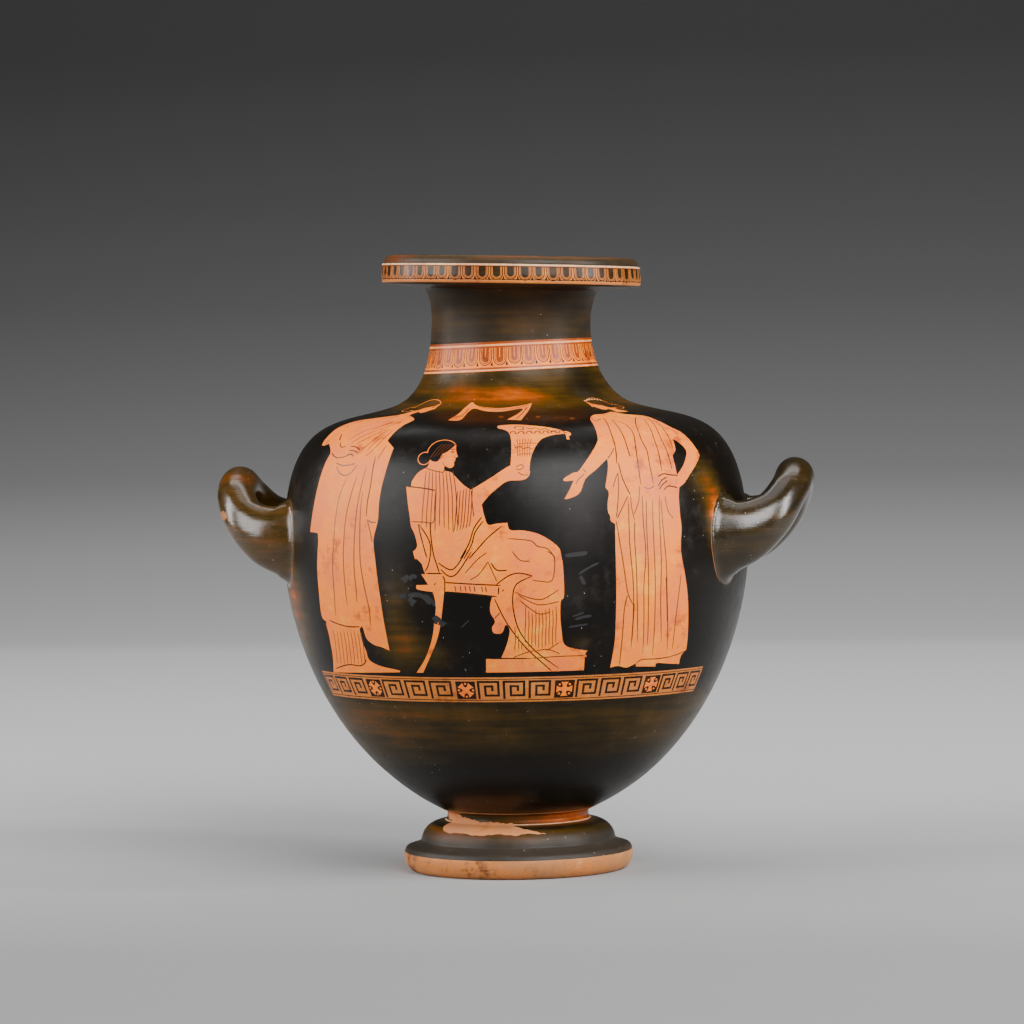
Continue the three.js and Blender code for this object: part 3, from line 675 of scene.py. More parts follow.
fill("clay", [(22.1, 158.3), (23.3, 157.7), (23.9, 155.3), (23, 152.9), (23, 150.7), (22.2, 150.9),
    (22.3, 154.4)])
print("seated figure:", len(drawn), "outlines so far")

# %% [markdown]
# ### The right figure
# The gap inside the bent arm is a patch of gloss laid over the clay, which is simpler than an outline
# with a hole in it.

# %% Standing figure on the right
fill("clay", [(33.5, 175.7), (37.4, 184.6), (42.4, 186.6), (48.5, 191.5), (51, 184.5), (57.5, 178.5),
    (58.7, 169.3), (59.9, 159.8), (62.3, 153.6), (63.4, 145.9), (64, 138), (63.6, 134.4), (60.7, 129),
    (57, 122.6), (54.4, 117.5), (52.3, 115), (52.3, 115), (51.6, 108.5), (51.4, 98.8), (51.6, 89.1),
    (51.2, 80.2), (51.3, 71.9), (52.4, 62), (54.3, 45.5), (55.9, 28.6), (56.9, 18.3), (57.6, 9.3),
    (57.6, 9.3), (56, 6.1), (56.1, 0.1), (56.1, 0.1), (51.7, 1), (51.7, 1), (47.5, 2.1), (47.3, -0.3),
    (47.3, -0.3), (40.6, 0.7), (40.6, 0.7), (40.2, 2.5), (37.7, 0.3), (35.1, 1.7), (32.8, 0.8), (32.8, 0.8),
    (33.1, 18.2), (32.8, 31.6), (32.4, 51.3), (32.1, 70.7), (32.1, 83.4), (32.2, 93.5), (32.2, 93.5),
    (31.1, 95.5), (31, 98.7), (30.5, 101.3), (30.6, 107.1), (31.1, 113.5), (30.4, 116.8), (31.1, 123.3),
    (31.8, 129.9), (32, 135.4), (32, 135.4), (28.4, 128.1), (25.4, 122.3), (23.6, 113.4), (20.7, 110),
    (19.8, 110.2), (19.8, 110.2), (21.1, 115.4), (22.4, 121.7), (22.4, 121.7), (20.2, 121.2), (20, 123),
    (22.5, 126.5), (23.7, 127.1), (25.1, 131), (27, 136.5), (28.6, 141.5), (30.5, 147.6), (31.3, 152.8),
    (32.2, 163.9)])
fill("gloss", [(56.1, 148.2), (56.1, 148.2), (57.6, 145.5), (58.9, 139.2), (57.3, 133.5), (55.1, 128.1),
    (52.3, 123), (52.3, 123), (52.5, 131.1), (52.7, 136), (52.7, 136), (54.6, 139.5), (55.2, 142.5)])
strokes("line", 0.8, [(34.9, 132.4), (35.3, 121.6), (36.9, 111.1)], [(40.4, 172.7), (39.4, 156.1),
        (38.7, 140), (38.9, 136.4)], [(38.7, 177.2), (36.1, 157.5), (35.3, 144.1), (34.4, 131.8)],
        [(52.7, 177.3), (47.2, 165.1), (44.5, 150), (44.6, 140.3), (44, 129.7), (44, 117.7)], [(40.3, 174.7),
        (43.1, 165.6), (43.2, 155.8), (41.5, 143.6), (40.5, 130.7), (40.2, 117.3)], [(53.2, 170.9),
        (49.3, 151.4), (48.3, 140), (47.4, 126)], [(57.3, 176.6), (52.1, 153), (51.3, 138.3), (51, 126.8)],
        [(57.3, 170.4), (55.3, 153.7), (54, 141.1)], [(45.8, 122.2), (47.7, 124), (50, 123.1), (52.6, 122.6)],
        [(45.3, 115.9), (46.9, 120.1), (48.6, 121.6)], [(45.5, 114), (47, 117.4), (48.7, 119.6)],
        [(47.1, 113.5), (48.6, 116), (51.6, 114.7)])
strokes("wash", 0.7, [(34.2, 177.9), (34.5, 171.6), (37.3, 175.2)], [(34.7, 142.6), (33.3, 138.2),
        (32.1, 135.4)], [(25, 129), (25.9, 126.3)], [(22.9, 119.2), (23.5, 121.8), (25.3, 125.6)], [(41, 116),
        (42.4, 114.9), (44.2, 116.4)], [(36.3, 111.1), (34.4, 103.6), (32.8, 96.7)], [(34.3, 125.7),
        (33.5, 110.1), (32.6, 97.3)], [(36.9, 110.5), (36.9, 103.4), (37.5, 95)], [(39.8, 116.7), (39, 107.1),
        (37.4, 98.8)], [(32.4, 116.6), (33.6, 123.1), (34.3, 125.7)], [(47.1, 109.6), (47.5, 100.5),
        (49.1, 95.5)])
strokes("wash", 0.75, [(32.5, 95.4), (32.9, 88.1), (33.6, 76.3), (35.4, 51), (37.4, 41.7)], [(36.2, 107.9),
        (35.9, 94.2), (36, 75.4), (37.1, 50.9), (38.1, 13.5)], [(37.5, 94.4), (37.3, 87.3), (37.4, 75.3),
        (38.3, 44.2), (39.8, 17.4)], [(40.2, 110.8), (39.9, 95.4), (40.3, 73.1), (40, 50.5), (42, 9.5)],
        [(41.3, 108.2), (40.8, 94.1), (40.9, 73), (41.6, 43.8), (43, 14.9)], [(43.1, 108), (42.7, 93.9),
        (42.8, 72.8), (43.6, 43.6), (45.3, 7.7)], [(45.3, 110.4), (44.7, 95), (44.8, 72.6), (45.3, 43.4),
        (47.4, 16.3)], [(45.7, 107.8), (45.6, 93.6), (46.2, 72.4), (47.4, 43.1), (50.1, 10.4)], [(51.3, 60.2),
        (51, 45.3), (51.1, 29.3), (51.9, 10.9)], [(35.5, 48.4), (34.9, 39.3), (35.1, 20.6), (35.4, 1.7)],
        [(40.4, 2.4), (42.1, 5.2), (46.1, 5.1), (50.7, 5.5), (55.2, 7.4), (57.6, 9.3)])
strokes("line", 0.8, [(37.5, 43), (37.7, 29.7), (38, 17.6)], [(46.5, 58.9), (47.3, 43.1), (48.3, 29.7)])
print("right figure:", len(drawn), "outlines so far")

# %% [markdown]
# ### Sash and basket
# A sash hangs on the wall behind. The basket carries a woven band, whose repeated marks come from loops.

# %% Sash on the wall
fill("clay", [(-14.3, 177.8), (-14.3, 177.8), (-14, 192.1), (-15, 208.5), (-13.6, 216.5), (-10.2, 212.4),
    (-5, 208.6), (2.2, 206.6), (10.6, 210.5), (17, 214.5), (17, 214.5), (13.6, 197.6), (10.2, 175.7),
    (10.2, 175.7), (5.7, 177.5), (5.7, 177.5), (8.9, 189.8), (11.7, 204.8), (2.7, 198.3), (-3.8, 200.1),
    (-9.6, 206.4), (-11, 199.8), (-9.9, 183.7), (-10.6, 176.9)])
strokes("wash", 0.7, [(-9.8, 210.6), (2.4, 203.5), (10.5, 207.5), (15.1, 212.4)], [(-12.9, 179.1),
        (-11.8, 191.9), (-12.6, 206.8)], [(14, 208.2), (11.3, 193.8), (8.7, 178.2)])
fill("wash", [(2.3, 184.4), (3.3, 187.6), (4.5, 184.2), (3.6, 181.2)])
fill("wash", [(15.4, 182.8), (16.4, 185.5), (17.2, 182.6), (16, 180.1)])
fill("wash", [(26.4, 177.6), (27.9, 179.5), (28.5, 177.3), (27.1, 175.2)])
print("sash:", len(drawn), "outlines so far")

# %% Pattern on the basket
for low in (139.5, 147.5):
    wide = 12.4 if low < 140 else 14.0
    stroke("wash", 0.5, [(8.9, low), (0.5 * (8.9 + wide), low + 0.6), (wide, low + 0.3)])
for k in range(6):
    a = 8.7 + 0.62 * k
    stroke("amber", 0.5, [(a, 138), (a, 141), (a + 0.05 * k, 147), (a + 0.16 * k, 152)])
for k in range(7):
    a = 7.0 + 2.3 * k
    stroke("line", 0.7, [(a, 156.8), (a, 158.6), (a + 1.2, 158.8), (a + 1.2, 157), (a + 2.1, 157)])

# %% [markdown]
# ### Scuffs
# Knocks and rubbing dulled the gloss in places. They could be noise, but they sit at known spots, so
# they are broad strokes of a matt grey, laid last.

# %% Scuffs on the black
for width, line in (
    (2.6, [(19.4, 74.6), (22.1, 75.2), (25, 76)]),
    (1.4, [(22.7, 62.8), (25.2, 66.6), (27.8, 69.6)]),
    (2.4, [(23.1, 61.6), (23.7, 59.1), (24.3, 56.1)]),
    (1.2, [(21.4, 36), (23, 37.2), (24.3, 38.4)]),
    (1.8, [(22.1, 34), (24.3, 35.5), (26.4, 36.1)]),
    (1.3, [(20.5, 29.1), (23.1, 30), (25.4, 30.6)]),
    (0.8, [(-6, 29.9), (-4.9, 32.3), (-3.9, 34.8)]),
    (3, [(-19.2, 50.3), (-16.7, 51.1), (-14.8, 49.4), (-13.3, 44.7)]),
    (2.2, [(-14.7, 51.2), (-12.9, 47.1), (-12.2, 43.9)]),
    (2.6, [(-18.3, 60), (-17.6, 62.8), (-16.4, 62)]),
):
    stroke("scuff", width, line, tip=0.15)
for a, b in ((-19.5, 61), (-20.4, 50), (-18.2, 46.5), (-12.2, 35), (-11, 33)):
    lay("scuff", eased([(a + 1.0 * math.cos(t) * (1 + 0.4 * math.sin(3 * t + a)),
                         b + 2.2 * math.sin(t) * (1 + 0.4 * math.cos(2 * t + b)))
                        for t in np.linspace(0, FULL_TURN, 15)[:-1]], True))

# %% [markdown]
# ## Handles
# The handles are coils of clay, pulled smooth and pressed on while the jar was leather hard. Each is
# a section swept along a bent line. Where a coil meets the wall, every line along it is cut at the
# wall and led out in a small curve, like the clay that a thumb smears round the joint.

# %% Handle sizes and routes
SIDE_THICKNESS, SIDE_ROOT_RISE, SIDE_HALF_SPREAD, SIDE_REACH = 24.6, 9.5, 47.0, 31.4
RIGHT_LIFT, LEFT_LIFT = 35.5, 34.0
SIDE_ROOT_HEIGHT, SIDE_ROOT_WIDTH = 60.0, 42.0
BACK_WIDTH, BACK_THICKNESS, BACK_REACH = 29.0, 14.0, 42.0
BACK_LOWER_RADIUS, BACK_BELOW_LIP = 104.0, 17.0
HANDLE_ROUND, HANDLE_LONG = 48, 70


def threaded(points, count):
    """Even shares of a centripetal curve through points, with their positions."""
    points = np.array(points, float)
    points = np.vstack([2 * points[0] - points[1], points, 2 * points[-1] - points[-2]])
    result = []
    for a, b, c, d in zip(points, points[1:], points[2:], points[3:]):
        gaps = [max(1e-4, np.linalg.norm(q - p)) ** 0.5 for p, q in ((a, b), (b, c), (c, d))]
        before = (b - a) / gaps[0] - (c - a) / (gaps[0] + gaps[1]) + (c - b) / gaps[1]
        after = (c - b) / gaps[1] - (d - b) / (gaps[1] + gaps[2]) + (d - c) / gaps[2]
        before, after = before * gaps[1], after * gaps[1]
        for t in np.linspace(0, 1, 60, endpoint=False):
            result.append((2 * t**3 - 3 * t**2 + 1) * b + (t**3 - 2 * t**2 + t) * before
                          + (3 * t**2 - 2 * t**3) * c + (t**3 - t**2) * after)
    result.append(points[-2])
    result = np.array(result)
    arcs = arc_lengths(result)
    even = np.linspace(0, arcs[-1], count)
    return np.column_stack([np.interp(even, arcs, result[:, i]) for i in range(3)])


def side_route(side, count):
    root_height = WIDEST + SIDE_ROOT_RISE
    root_x = math.sqrt(radius_at_arc(arc_at(root_height)) ** 2 - SIDE_HALF_SPREAD**2)
    out = BODY_RADIUS + SIDE_REACH - root_x
    lift = RIGHT_LIFT if side > 0 else LEFT_LIFT
    leg = [(0.97, -0.24, -0.05), (1.0, 0.0, 0.0), (1.0, 0.3, 0.07), (0.86, 0.68, 0.33), (0.5, 0.94, 0.76)]
    stops = leg + [(0.0, 1.0, 1.0)] + [(-s, r, h) for s, r, h in leg[::-1]]
    return threaded([(side * (root_x + r * out), -side * s * SIDE_HALF_SPREAD, root_height + h * lift)
                     for s, r, h in stops], count)


def back_route(count):
    top = LIP_BOTTOM - BACK_BELOW_LIP
    low = NECK_BASE - (BACK_LOWER_RADIUS - NECK_BASE_RADIUS) * math.tan(SHOULDER_SLOPE)
    span, rise = NECK_BASE_RADIUS + BACK_REACH - NECK_RADIUS, top - low
    stops = [(BACK_LOWER_RADIUS - 7, -0.2), (BACK_LOWER_RADIUS + 3, 0.05), (NECK_RADIUS + 0.95 * span, 0.33),
             (NECK_RADIUS + 0.98 * span, 0.6), (NECK_RADIUS + 0.87 * span, 0.84),
             (NECK_RADIUS + 0.63 * span, 0.985), (NECK_RADIUS + 0.36 * span, 1.0),
             (NECK_RADIUS + 0.13 * span, 0.94), (NECK_RADIUS - 4, 0.87)]
    return threaded([(0, r, low + h * rise) for r, h in stops], count)

# %% Sweep the sections
def swept(route, half_up, half_wide, across=None):
    """Rings of points round a route. half_up and half_wide give the section along it."""
    along = np.gradient(route, axis=0)
    along /= np.linalg.norm(along, axis=1)[:, None]
    if across is None:
        across = np.cross(along, (0, 0, 1.0))
        across /= np.linalg.norm(across, axis=1)[:, None]
    else:
        across = np.tile(np.array(across, float), (len(route), 1))
    upward = np.cross(across, along)
    turn = np.linspace(0, FULL_TURN, HANDLE_ROUND, endpoint=False)
    return (route[:, None] + across[:, None] * (half_wide[:, None] * np.cos(turn))[..., None]
            + upward[:, None] * (half_up[:, None] * np.sin(turn))[..., None])


def cut_at_wall(rings, fillet=3.0):
    """Cuts each line of a swept handle at the jar's wall and eases both ends out onto it."""
    height = rings[..., 2]
    clear = np.hypot(rings[..., 0], rings[..., 1]) - radius_at_arc(arc_at(height))
    middle = len(rings) // 2
    lines, roots = [], [[], []]
    for j in range(HANDLE_ROUND):
        cuts = []
        for step in (-1, 1):
            i = middle
            while clear[i, j] > 0:
                i += step
            share = clear[i - step, j] / (clear[i - step, j] - clear[i, j])
            cuts.append(i - step + step * share)
        lines.append(cuts)
    lines = np.array(lines)
    index = np.arange(len(rings))

    def along_line(j, place):
        return np.column_stack([np.interp(place, index, rings[:, j, k]) for k in range(3)])

    pitch = np.linalg.norm(np.diff(rings, axis=0), axis=2).mean()
    crossings = [np.array([along_line(j, [lines[j, end]])[0] for j in range(HANDLE_ROUND)]) for end in (0, 1)]
    result = np.zeros((HANDLE_LONG + 13, HANDLE_ROUND, 3))
    t = np.linspace(0, 1, 7)[:, None]
    for end in (0, 1):
        angle = np.arctan2(crossings[end][:, 0], -crossings[end][:, 1])
        angle = np.where(angle > SEAM, angle - FULL_TURN, angle)
        arc = arc_at(crossings[end][:, 2])
        flat = np.column_stack([angle * radius_at_arc(arc), arc])
        away = flat - flat.mean(axis=0)
        away /= np.linalg.norm(away, axis=1)[:, None]
        flat = flat + away * fillet
        spread_arc = flat[:, 1]
        spread_angle = flat[:, 0] / radius_at_arc(arc)
        roots[end] = np.column_stack([spread_angle, spread_arc])
    for j in range(HANDLE_ROUND):
        inset = 1.25 * fillet / pitch
        low, high = lines[j, 0] + inset, lines[j, 1] - inset
        result[6:-6, j] = along_line(j, np.linspace(low, high, HANDLE_LONG + 1))
        for end, rows in ((0, slice(0, 7)), (1, slice(-1, -8, -1))):
            start = on_surface(*roots[end][j])
            bend, stop = crossings[end][j], result[6 if end == 0 else -7, j]
            result[rows, j] = (1 - t) ** 2 * start + 2 * t * (1 - t) * bend + t * t * stop
    return result, roots


def lengthened(route, extra=30):
    """The route led on straight into the wall, with each point's share of the old length."""
    share = np.clip(np.arange(-extra, len(route) + extra) / (len(route) - 1), 0, 1)
    steps = np.arange(1, extra + 1)[:, None]
    before = route[0] - steps[::-1] * (route[1] - route[0])
    after = route[-1] + steps * (route[-1] - route[-2])
    return np.vstack([before, route, after]), share


handles = []
for side in (1, -1):
    route, share = lengthened(side_route(side, 240))
    flare = np.clip((np.abs(2 * share - 1) - 0.1) / 0.9, 0, 1) ** 2.5
    half = SIDE_THICKNESS / 2
    handles.append(cut_at_wall(swept(route, half + flare * (SIDE_ROOT_HEIGHT / 2 - half),
                                     half + flare * (SIDE_ROOT_WIDTH / 2 - half))))
route, share = lengthened(back_route(240))
flare = np.clip((np.abs(2 * share - 1) - 0.6) / 0.4, 0, 1) ** 2
handles.append(cut_at_wall(swept(route, (1 + 0.35 * flare) * BACK_THICKNESS / 2,
                                 (1 + 0.3 * flare) * BACK_WIDTH / 2, across=(1, 0, 0)), fillet=2.4))
for (rings, roots), end in ((handles[0], 0), (handles[1], 1)):
    root = roots[end]
    reach = (root - root.mean(axis=0)) * (1.025 if end else 1.03)
    edge = (root.mean(axis=0) + reach)
    front = np.roll(edge, -int(np.argmin(np.abs(edge[:, 0]))) + 9, axis=0)[:19]
    stroke("bare", 0.3, front, smooth=False, tip=0.1)
print("handles:", [h[0].shape for h in handles])

# %% [markdown]
# ## The painted sheet
# The whole outside is one sheet, unrolled: angle to the right and arc length upward. A constrained
# triangulation takes the outlines of the painting and the roots of the handles as fixed edges.
# Each triangle then belongs to the last outline laid over it, and the sheet is rolled up again.

# %% Rows of the sheet
ROW_STEP, ROW_TURN = 3.9, math.radians(7)
ROOT_CLEARANCE, CLOSE_ROWS, HOLE = 1.6, 2.5, -1


def sheet_rows():
    heading = np.unwrap(np.arctan2(SLOPE[:, 1], SLOPE[:, 0]))
    rows, last_arc, last_heading = [0.0], 0.0, heading[0]
    for arc, way in zip(ARC, heading):
        if arc - last_arc > ROW_STEP or abs(way - last_heading) > ROW_TURN:
            rows.append(arc)
            last_arc, last_heading = arc, way
    rows[-1] = ARC[-1]
    return np.array(rows)


ROWS = sheet_rows()
print("rows:", len(ROWS))

# %% Triangulate the sheet
def divided(outline, step=3.6):
    """An outline in sheet units with its long edges divided."""
    points = []
    for a, b in zip(outline, np.roll(outline, -1, axis=0)):
        pieces = max(1, int(math.ceil(np.hypot(*(b - a)) / step)))
        points += [a + (b - a) * k / pieces for k in range(pieces)]
    return points


def near_loop(points, loops, reach):
    """Which points lie inside a loop or close to it."""
    hit = np.zeros(len(points), bool)
    for loop in loops:
        low, high = loop.min(axis=0) - reach, loop.max(axis=0) + reach
        box = np.all((points > low) & (points < high), axis=1)
        chosen = np.where(box)[0]
        close = np.min(np.linalg.norm(points[chosen][:, None] - loop[None], axis=2), axis=1) < reach
        inside = np.zeros(len(chosen), bool)
        for a, b in zip(loop, np.roll(loop, -1, axis=0)):
            y = points[chosen, 1]
            crosses = (a[1] > y) != (b[1] > y)
            with np.errstate(divide="ignore", invalid="ignore"):
                x = a[0] + (y - a[1]) * (b[0] - a[0]) / (b[1] - a[1])
            inside ^= crosses & (points[chosen, 0] < x)
        hit[chosen] |= close | inside
    return hit


scale = np.array([SHEET_SCALE, 1.0])
loops = [np.array(root) * scale for _, roots in handles for root in roots]
columns = (SEAM - FULL_TURN + np.linspace(0, FULL_TURN, COLUMNS + 1)) * SHEET_SCALE
grid = np.array([(u, v) for v in ROWS for u in columns])
keep = ~near_loop(grid, loops, ROOT_CLEARANCE)
grid_index = np.cumsum(keep) - 1
edges = []
for i, gap in enumerate(np.diff(ROWS, append=ROWS[-1])):
    if gap < CLOSE_ROWS or (i and ROWS[i] - ROWS[i - 1] < CLOSE_ROWS):
        for j in range(COLUMNS):
            a = i * (COLUMNS + 1) + j
            if keep[a] and keep[a + 1]:
                edges.append((int(grid_index[a]), int(grid_index[a + 1])))
points = [Vector(p) for p in grid[keep]]
faces, face_paint = [], []
for paint, outline in drawn:
    outline = divided(outline * scale)
    faces.append(list(range(len(points), len(points) + len(outline))))
    points += [Vector(p) for p in outline]
    face_paint.append(PAINTS.index(paint))
for loop in loops:
    area = np.sum(loop[:, 0] * np.roll(loop[:, 1], -1) - np.roll(loop[:, 0], -1) * loop[:, 1])
    loop = loop if area > 0 else loop[::-1]
    faces.append(list(range(len(points), len(points) + len(loop))))
    points += [Vector(p) for p in loop]
    face_paint.append(HOLE)
sheet = delaunay_2d_cdt(points, edges, faces, 0, 1e-5)
flat = np.array([tuple(p) for p in sheet[0]])
sheet_faces = np.array(sheet[2])
sheet_paint = np.array([face_paint[max(owner)] if owner else 0 for owner in sheet[5]])
sheet_faces, sheet_paint = sheet_faces[sheet_paint != HOLE], sheet_paint[sheet_paint != HOLE]
print("sheet:", len(flat), "points,", len(sheet_faces), "triangles")

# %% [markdown]
# ## Inside and underside
# The wall is about six millimetres thick, and the inside follows the outside. Under the foot is a
# shallow hollow, so the jar stands on its outer ring only.

# %% Inside and underside outlines
def inner_outline():
    body = body_outline(16)
    slope = np.gradient(body, axis=0)
    slope /= np.linalg.norm(slope, axis=1)[:, None]
    wall = np.where(body[:, 1] < NECK_BASE, BODY_WALL, NECK_WALL)[:, None]
    inner = body + wall * np.column_stack([-slope[:, 1], slope[:, 0]])
    floor = FOOT_HOLLOW_DEPTH + FLOOR_THICKNESS
    inner = inner[inner[:, 1] > BODY_BOTTOM + 3]
    x, y = inner[-1]
    edge = LIP_RADIUS - LIP_TOP_INSET
    trumpet = cubic((x, y), (x, y + 0.62 * (LIP_TOP - y)), (x + 0.45 * (edge - x), LIP_TOP - 1.2),
                    (edge - 1.5, LIP_TOP), 14)
    start = inner[0]
    bottom = cubic((0, floor), (0.4 * start[0], floor), (0.72 * start[0], floor + 0.35 * (start[1] - floor)),
                   start, 8)
    return np.vstack([[(0, floor)], bottom[:-1], inner, trumpet])


def under_outline():
    inner = FOOT_REST_RADIUS - FOOT_REST_WIDTH
    return np.array([(0, FOOT_HOLLOW_DEPTH), (15, FOOT_HOLLOW_DEPTH), (26, FOOT_HOLLOW_DEPTH - 0.2),
                     (31, 0.975 * FOOT_HOLLOW_DEPTH), (FOOT_HOLLOW_TOP_RADIUS + 1, 0.93 * FOOT_HOLLOW_DEPTH),
                     (38, 0.86 * FOOT_HOLLOW_DEPTH), (44, 0.69 * FOOT_HOLLOW_DEPTH),
                     (49.5, 0.5 * FOOT_HOLLOW_DEPTH), (53.5, 0.33 * FOOT_HOLLOW_DEPTH),
                     (inner - 1.0, 0.12 * FOOT_HOLLOW_DEPTH), (inner, 0.8), (inner + 0.8, 0.15),
                     (inner + 1.8, 0.0), (62, 0), (FOOT_REST_RADIUS, 0)])


def turned(outline, outward):
    """Spins an outline with the sheet's own columns. Returns points and triangles."""
    angles = SEAM - FULL_TURN + np.linspace(0, FULL_TURN, COLUMNS, endpoint=False)
    rings = np.array([[(r * math.sin(a), -r * math.cos(a), z) for a in angles] for r, z in outline[1:]])
    points = np.vstack([[(0, 0, outline[0][1])], rings.reshape(-1, 3)])
    triangles = []
    for j in range(COLUMNS):
        k = (j + 1) % COLUMNS
        triangles.append((0, 1 + j, 1 + k))
        for i in range(len(rings) - 1):
            a, b = 1 + i * COLUMNS + j, 1 + i * COLUMNS + k
            triangles += [(a, a + COLUMNS, b + COLUMNS), (a, b + COLUMNS, b)]
    triangles = np.array(triangles)
    return points, triangles if outward else triangles[:, ::-1]

# %% [markdown]
# ## One skin
# Sheet, handles, inside and underside are collected, each with its own normals, before they are welded.

# %% Join everything into one skin
INSIDE, UNDERSIDE = 20, 21
chunks = []


def chunk(*values):
    """Keeps points, triangles, paints, normals, angles and arc lengths of one part of the skin."""
    chunks.append([np.array(value) for value in values])


def normals_from(points, triangles):
    a, b, c = (points[triangles[:, i]] for i in range(3))
    face = np.cross(b - a, c - a)
    result = np.zeros_like(points)
    for i in range(3):
        np.add.at(result, triangles[:, i], face)
    return result / (np.linalg.norm(result, axis=1)[:, None] + 1e-12)


angle, arc = flat[:, 0] / SHEET_SCALE, flat[:, 1]
base = settled(on_surface(angle, arc))
tiny = 0.02
ahead = settled(on_surface(angle + tiny / 100, arc)) - settled(on_surface(angle - tiny / 100, arc))
above = (settled(on_surface(angle, np.minimum(arc + tiny, ARC[-1])))
         - settled(on_surface(angle, np.maximum(arc - tiny, 0))))
outward = np.cross(ahead, above)
outward /= np.linalg.norm(outward, axis=1)[:, None]
chunk(base, sheet_faces, sheet_paint, outward, angle, arc)
for rings, roots in handles:
    grid3 = settled(rings)
    long, round_ = grid3.shape[:2]
    number = np.arange(long * round_).reshape(long, round_)
    following = np.roll(number, -1, axis=1)
    triangles = np.vstack([
        np.column_stack([number[:-1].ravel(), number[1:].ravel(), following[1:].ravel()]),
        np.column_stack([number[:-1].ravel(), following[1:].ravel(), following[:-1].ravel()]),
    ])
    flat3 = grid3.reshape(-1, 3)
    centre = grid3.mean(axis=1, keepdims=True)
    way = normals_from(flat3, triangles)
    if np.sum(way * (grid3 - centre).reshape(-1, 3)) < 0:
        triangles, way = triangles[:, ::-1], -way
    chunk(flat3, triangles, np.full(len(triangles), PAINTS.index("handle")), way,
          np.arctan2(flat3[:, 0], -flat3[:, 1]), np.full(len(flat3), -1.0))
lip_end = OUTLINE[-1]
inside = inner_outline()
inside = np.vstack([inside[:-1], [lip_end + (-1.2, 0)], [lip_end]])
inside[-2:, 1] = lip_end[1]
for outline, name in ((inside, "inside"), (under_outline(), "under")):
    raw, triangles = turned(outline, name == "under")
    points3 = settled(raw)
    way = normals_from(points3, triangles)
    if (way[0, 2] > 0) != (name == "inside"):
        triangles, way = triangles[:, ::-1], -way
    chunk(points3, triangles, np.full(len(triangles), INSIDE if name == "inside" else UNDERSIDE), way,
          np.arctan2(points3[:, 0], -points3[:, 1]), np.full(len(points3), -2.0))
print("chunks:", [(len(c[0]), len(c[1])) for c in chunks])

# %% [markdown]
# ## Thin, worn and dull places
# Slip that went on thin fired brown, hands rubbed a handle, and neck and foot lost their shine.
# Three soft grey spots on the black are laid on too; the largest, right of the front, is a painted
# reflection of a soft light. Noise alone would put such places anywhere. Here they lie at known
# spots, so each point of the mesh carries a number for each kind.

# %% Where the gloss came out thin
def blob(angle, height, middle, level, wide, tall):
    """A soft spot from 1 at its middle to 0, placed in degrees and millimetres."""
    across = (np.degrees(angle) - middle + 180) % 360 - 180
    return np.exp(-((across / wide) ** 2) - ((height - level) / tall) ** 2)


# Each spot is its share, then angle, height and how far it reaches across and up
LOW_SPOTS = ((0.11, -38, 106, 32, 20), (0.06, 35, 104, 40, 12), (-0.12, 20, 72, 60, 16))
COLLAR_SPOTS = ((0.1, -22, 322, 8, 4), (0.24, 6, 311, 26, 6), (-0.16, -4, 321, 16, 5), (-0.2, 55, 318, 14, 16))
BODY_SPOTS = ((0.7, 66, 232, 4.5, 20), (0.3, 62, 258, 7, 14), (0.5, -68, 182, 10, 46), (0.3, -23, 178, 5, 26),
              (0.4, -22, 153, 8, 13), (0.22, -12, 148, 4, 8), (0.2, 24, 156, 4, 6))
ROLL_SPOTS = ((0.04, -62, 400, 22, 9), (0.2, 52, 400, 26, 9))
# Soft grey spots on the black: the first, right of the front, is a painted reflection of a soft light
DULL_AND_SHEEN_SPOTS = ((0.42, 23, 236, 7, 24), (0.3, -24, 196, 4, 16), (0.25, 20, 190, 5, 16))


def spotted(angle, height, table):
    return sum(share * blob(angle, height, *place) for share, *place in table)


def thinness(angle, height, kind):
    """0 where the gloss is thick and black, 1 where the clay glows through. kind is below 0 off the sheet."""
    low = smoothstep(height, 128, 112)
    collar = smoothstep(height, 298, 306) * smoothstep(height, 331, 326)
    neck = smoothstep(height, 342, 346)
    roll = smoothstep(height, 396.6, 397.4)
    stem = smoothstep(height, 31.5, 33.2) * smoothstep(height, 44, 41)
    foot = smoothstep(height, 31.5, 30)
    thin = 0.02 + spotted(angle, height, BODY_SPOTS)
    thin += low * (0.25 - 0.19 * smoothstep(height, 92, 58) + spotted(angle, height, LOW_SPOTS))
    thin += collar * (0.28 + spotted(angle, height, COLLAR_SPOTS))
    thin += neck * (0.27 + 0.1 * blob(angle, height, 8, 360, 20, 30))
    thin += 0.12 * smoothstep(height, 290, 305) * smoothstep(height, 331, 326)
    thin += roll * (0.16 + spotted(angle, height, ROLL_SPOTS))
    thin += stem * (0.28 + 0.42 * blob(angle, height, 55, 37, 50, 20))
    thin += foot * (0.15 + 0.26 * blob(angle, height, -30, 27, 60, 5))
    thin += 0.1 * (1 - blob(angle, height, 5, 200, 80, 400)) * (1 - collar)
    side = np.where(np.sin(angle) > 0, 0.27, 0.42)
    return np.where(kind < 0, np.where(kind < -1.5, 0.4, side), thin)


def dullness_and_sheen(angle, height, kind):
    """How far the gloss goes grey: dulled on the neck and the foot, and three soft spots, the largest a painted
    reflection.
    """
    dull_and_sheen = spotted(angle, height, DULL_AND_SHEEN_SPOTS)
    dull_and_sheen += 0.3 * smoothstep(height, 342, 346) + 0.5 * smoothstep(height, 30, 24)
    return np.where(kind < 0, 0.0, dull_and_sheen)


def wear(points):
    """0.7 at the rubbed patch on the front of the left handle, placed across and up in millimetres."""
    spots = (((-184.5, 235), 4.2), ((-191.5, 244), 2.0), ((-178, 232), 2.0))
    total = np.zeros(len(points))
    for (across, up), reach in spots:
        near = ((points[:, 0] - across) ** 2 + (points[:, 2] - up) ** 2) / reach**2
        total += np.where(points[:, 1] < 0, 0.7 * np.exp(-near), 0)
    return np.clip(total, 0, 1)
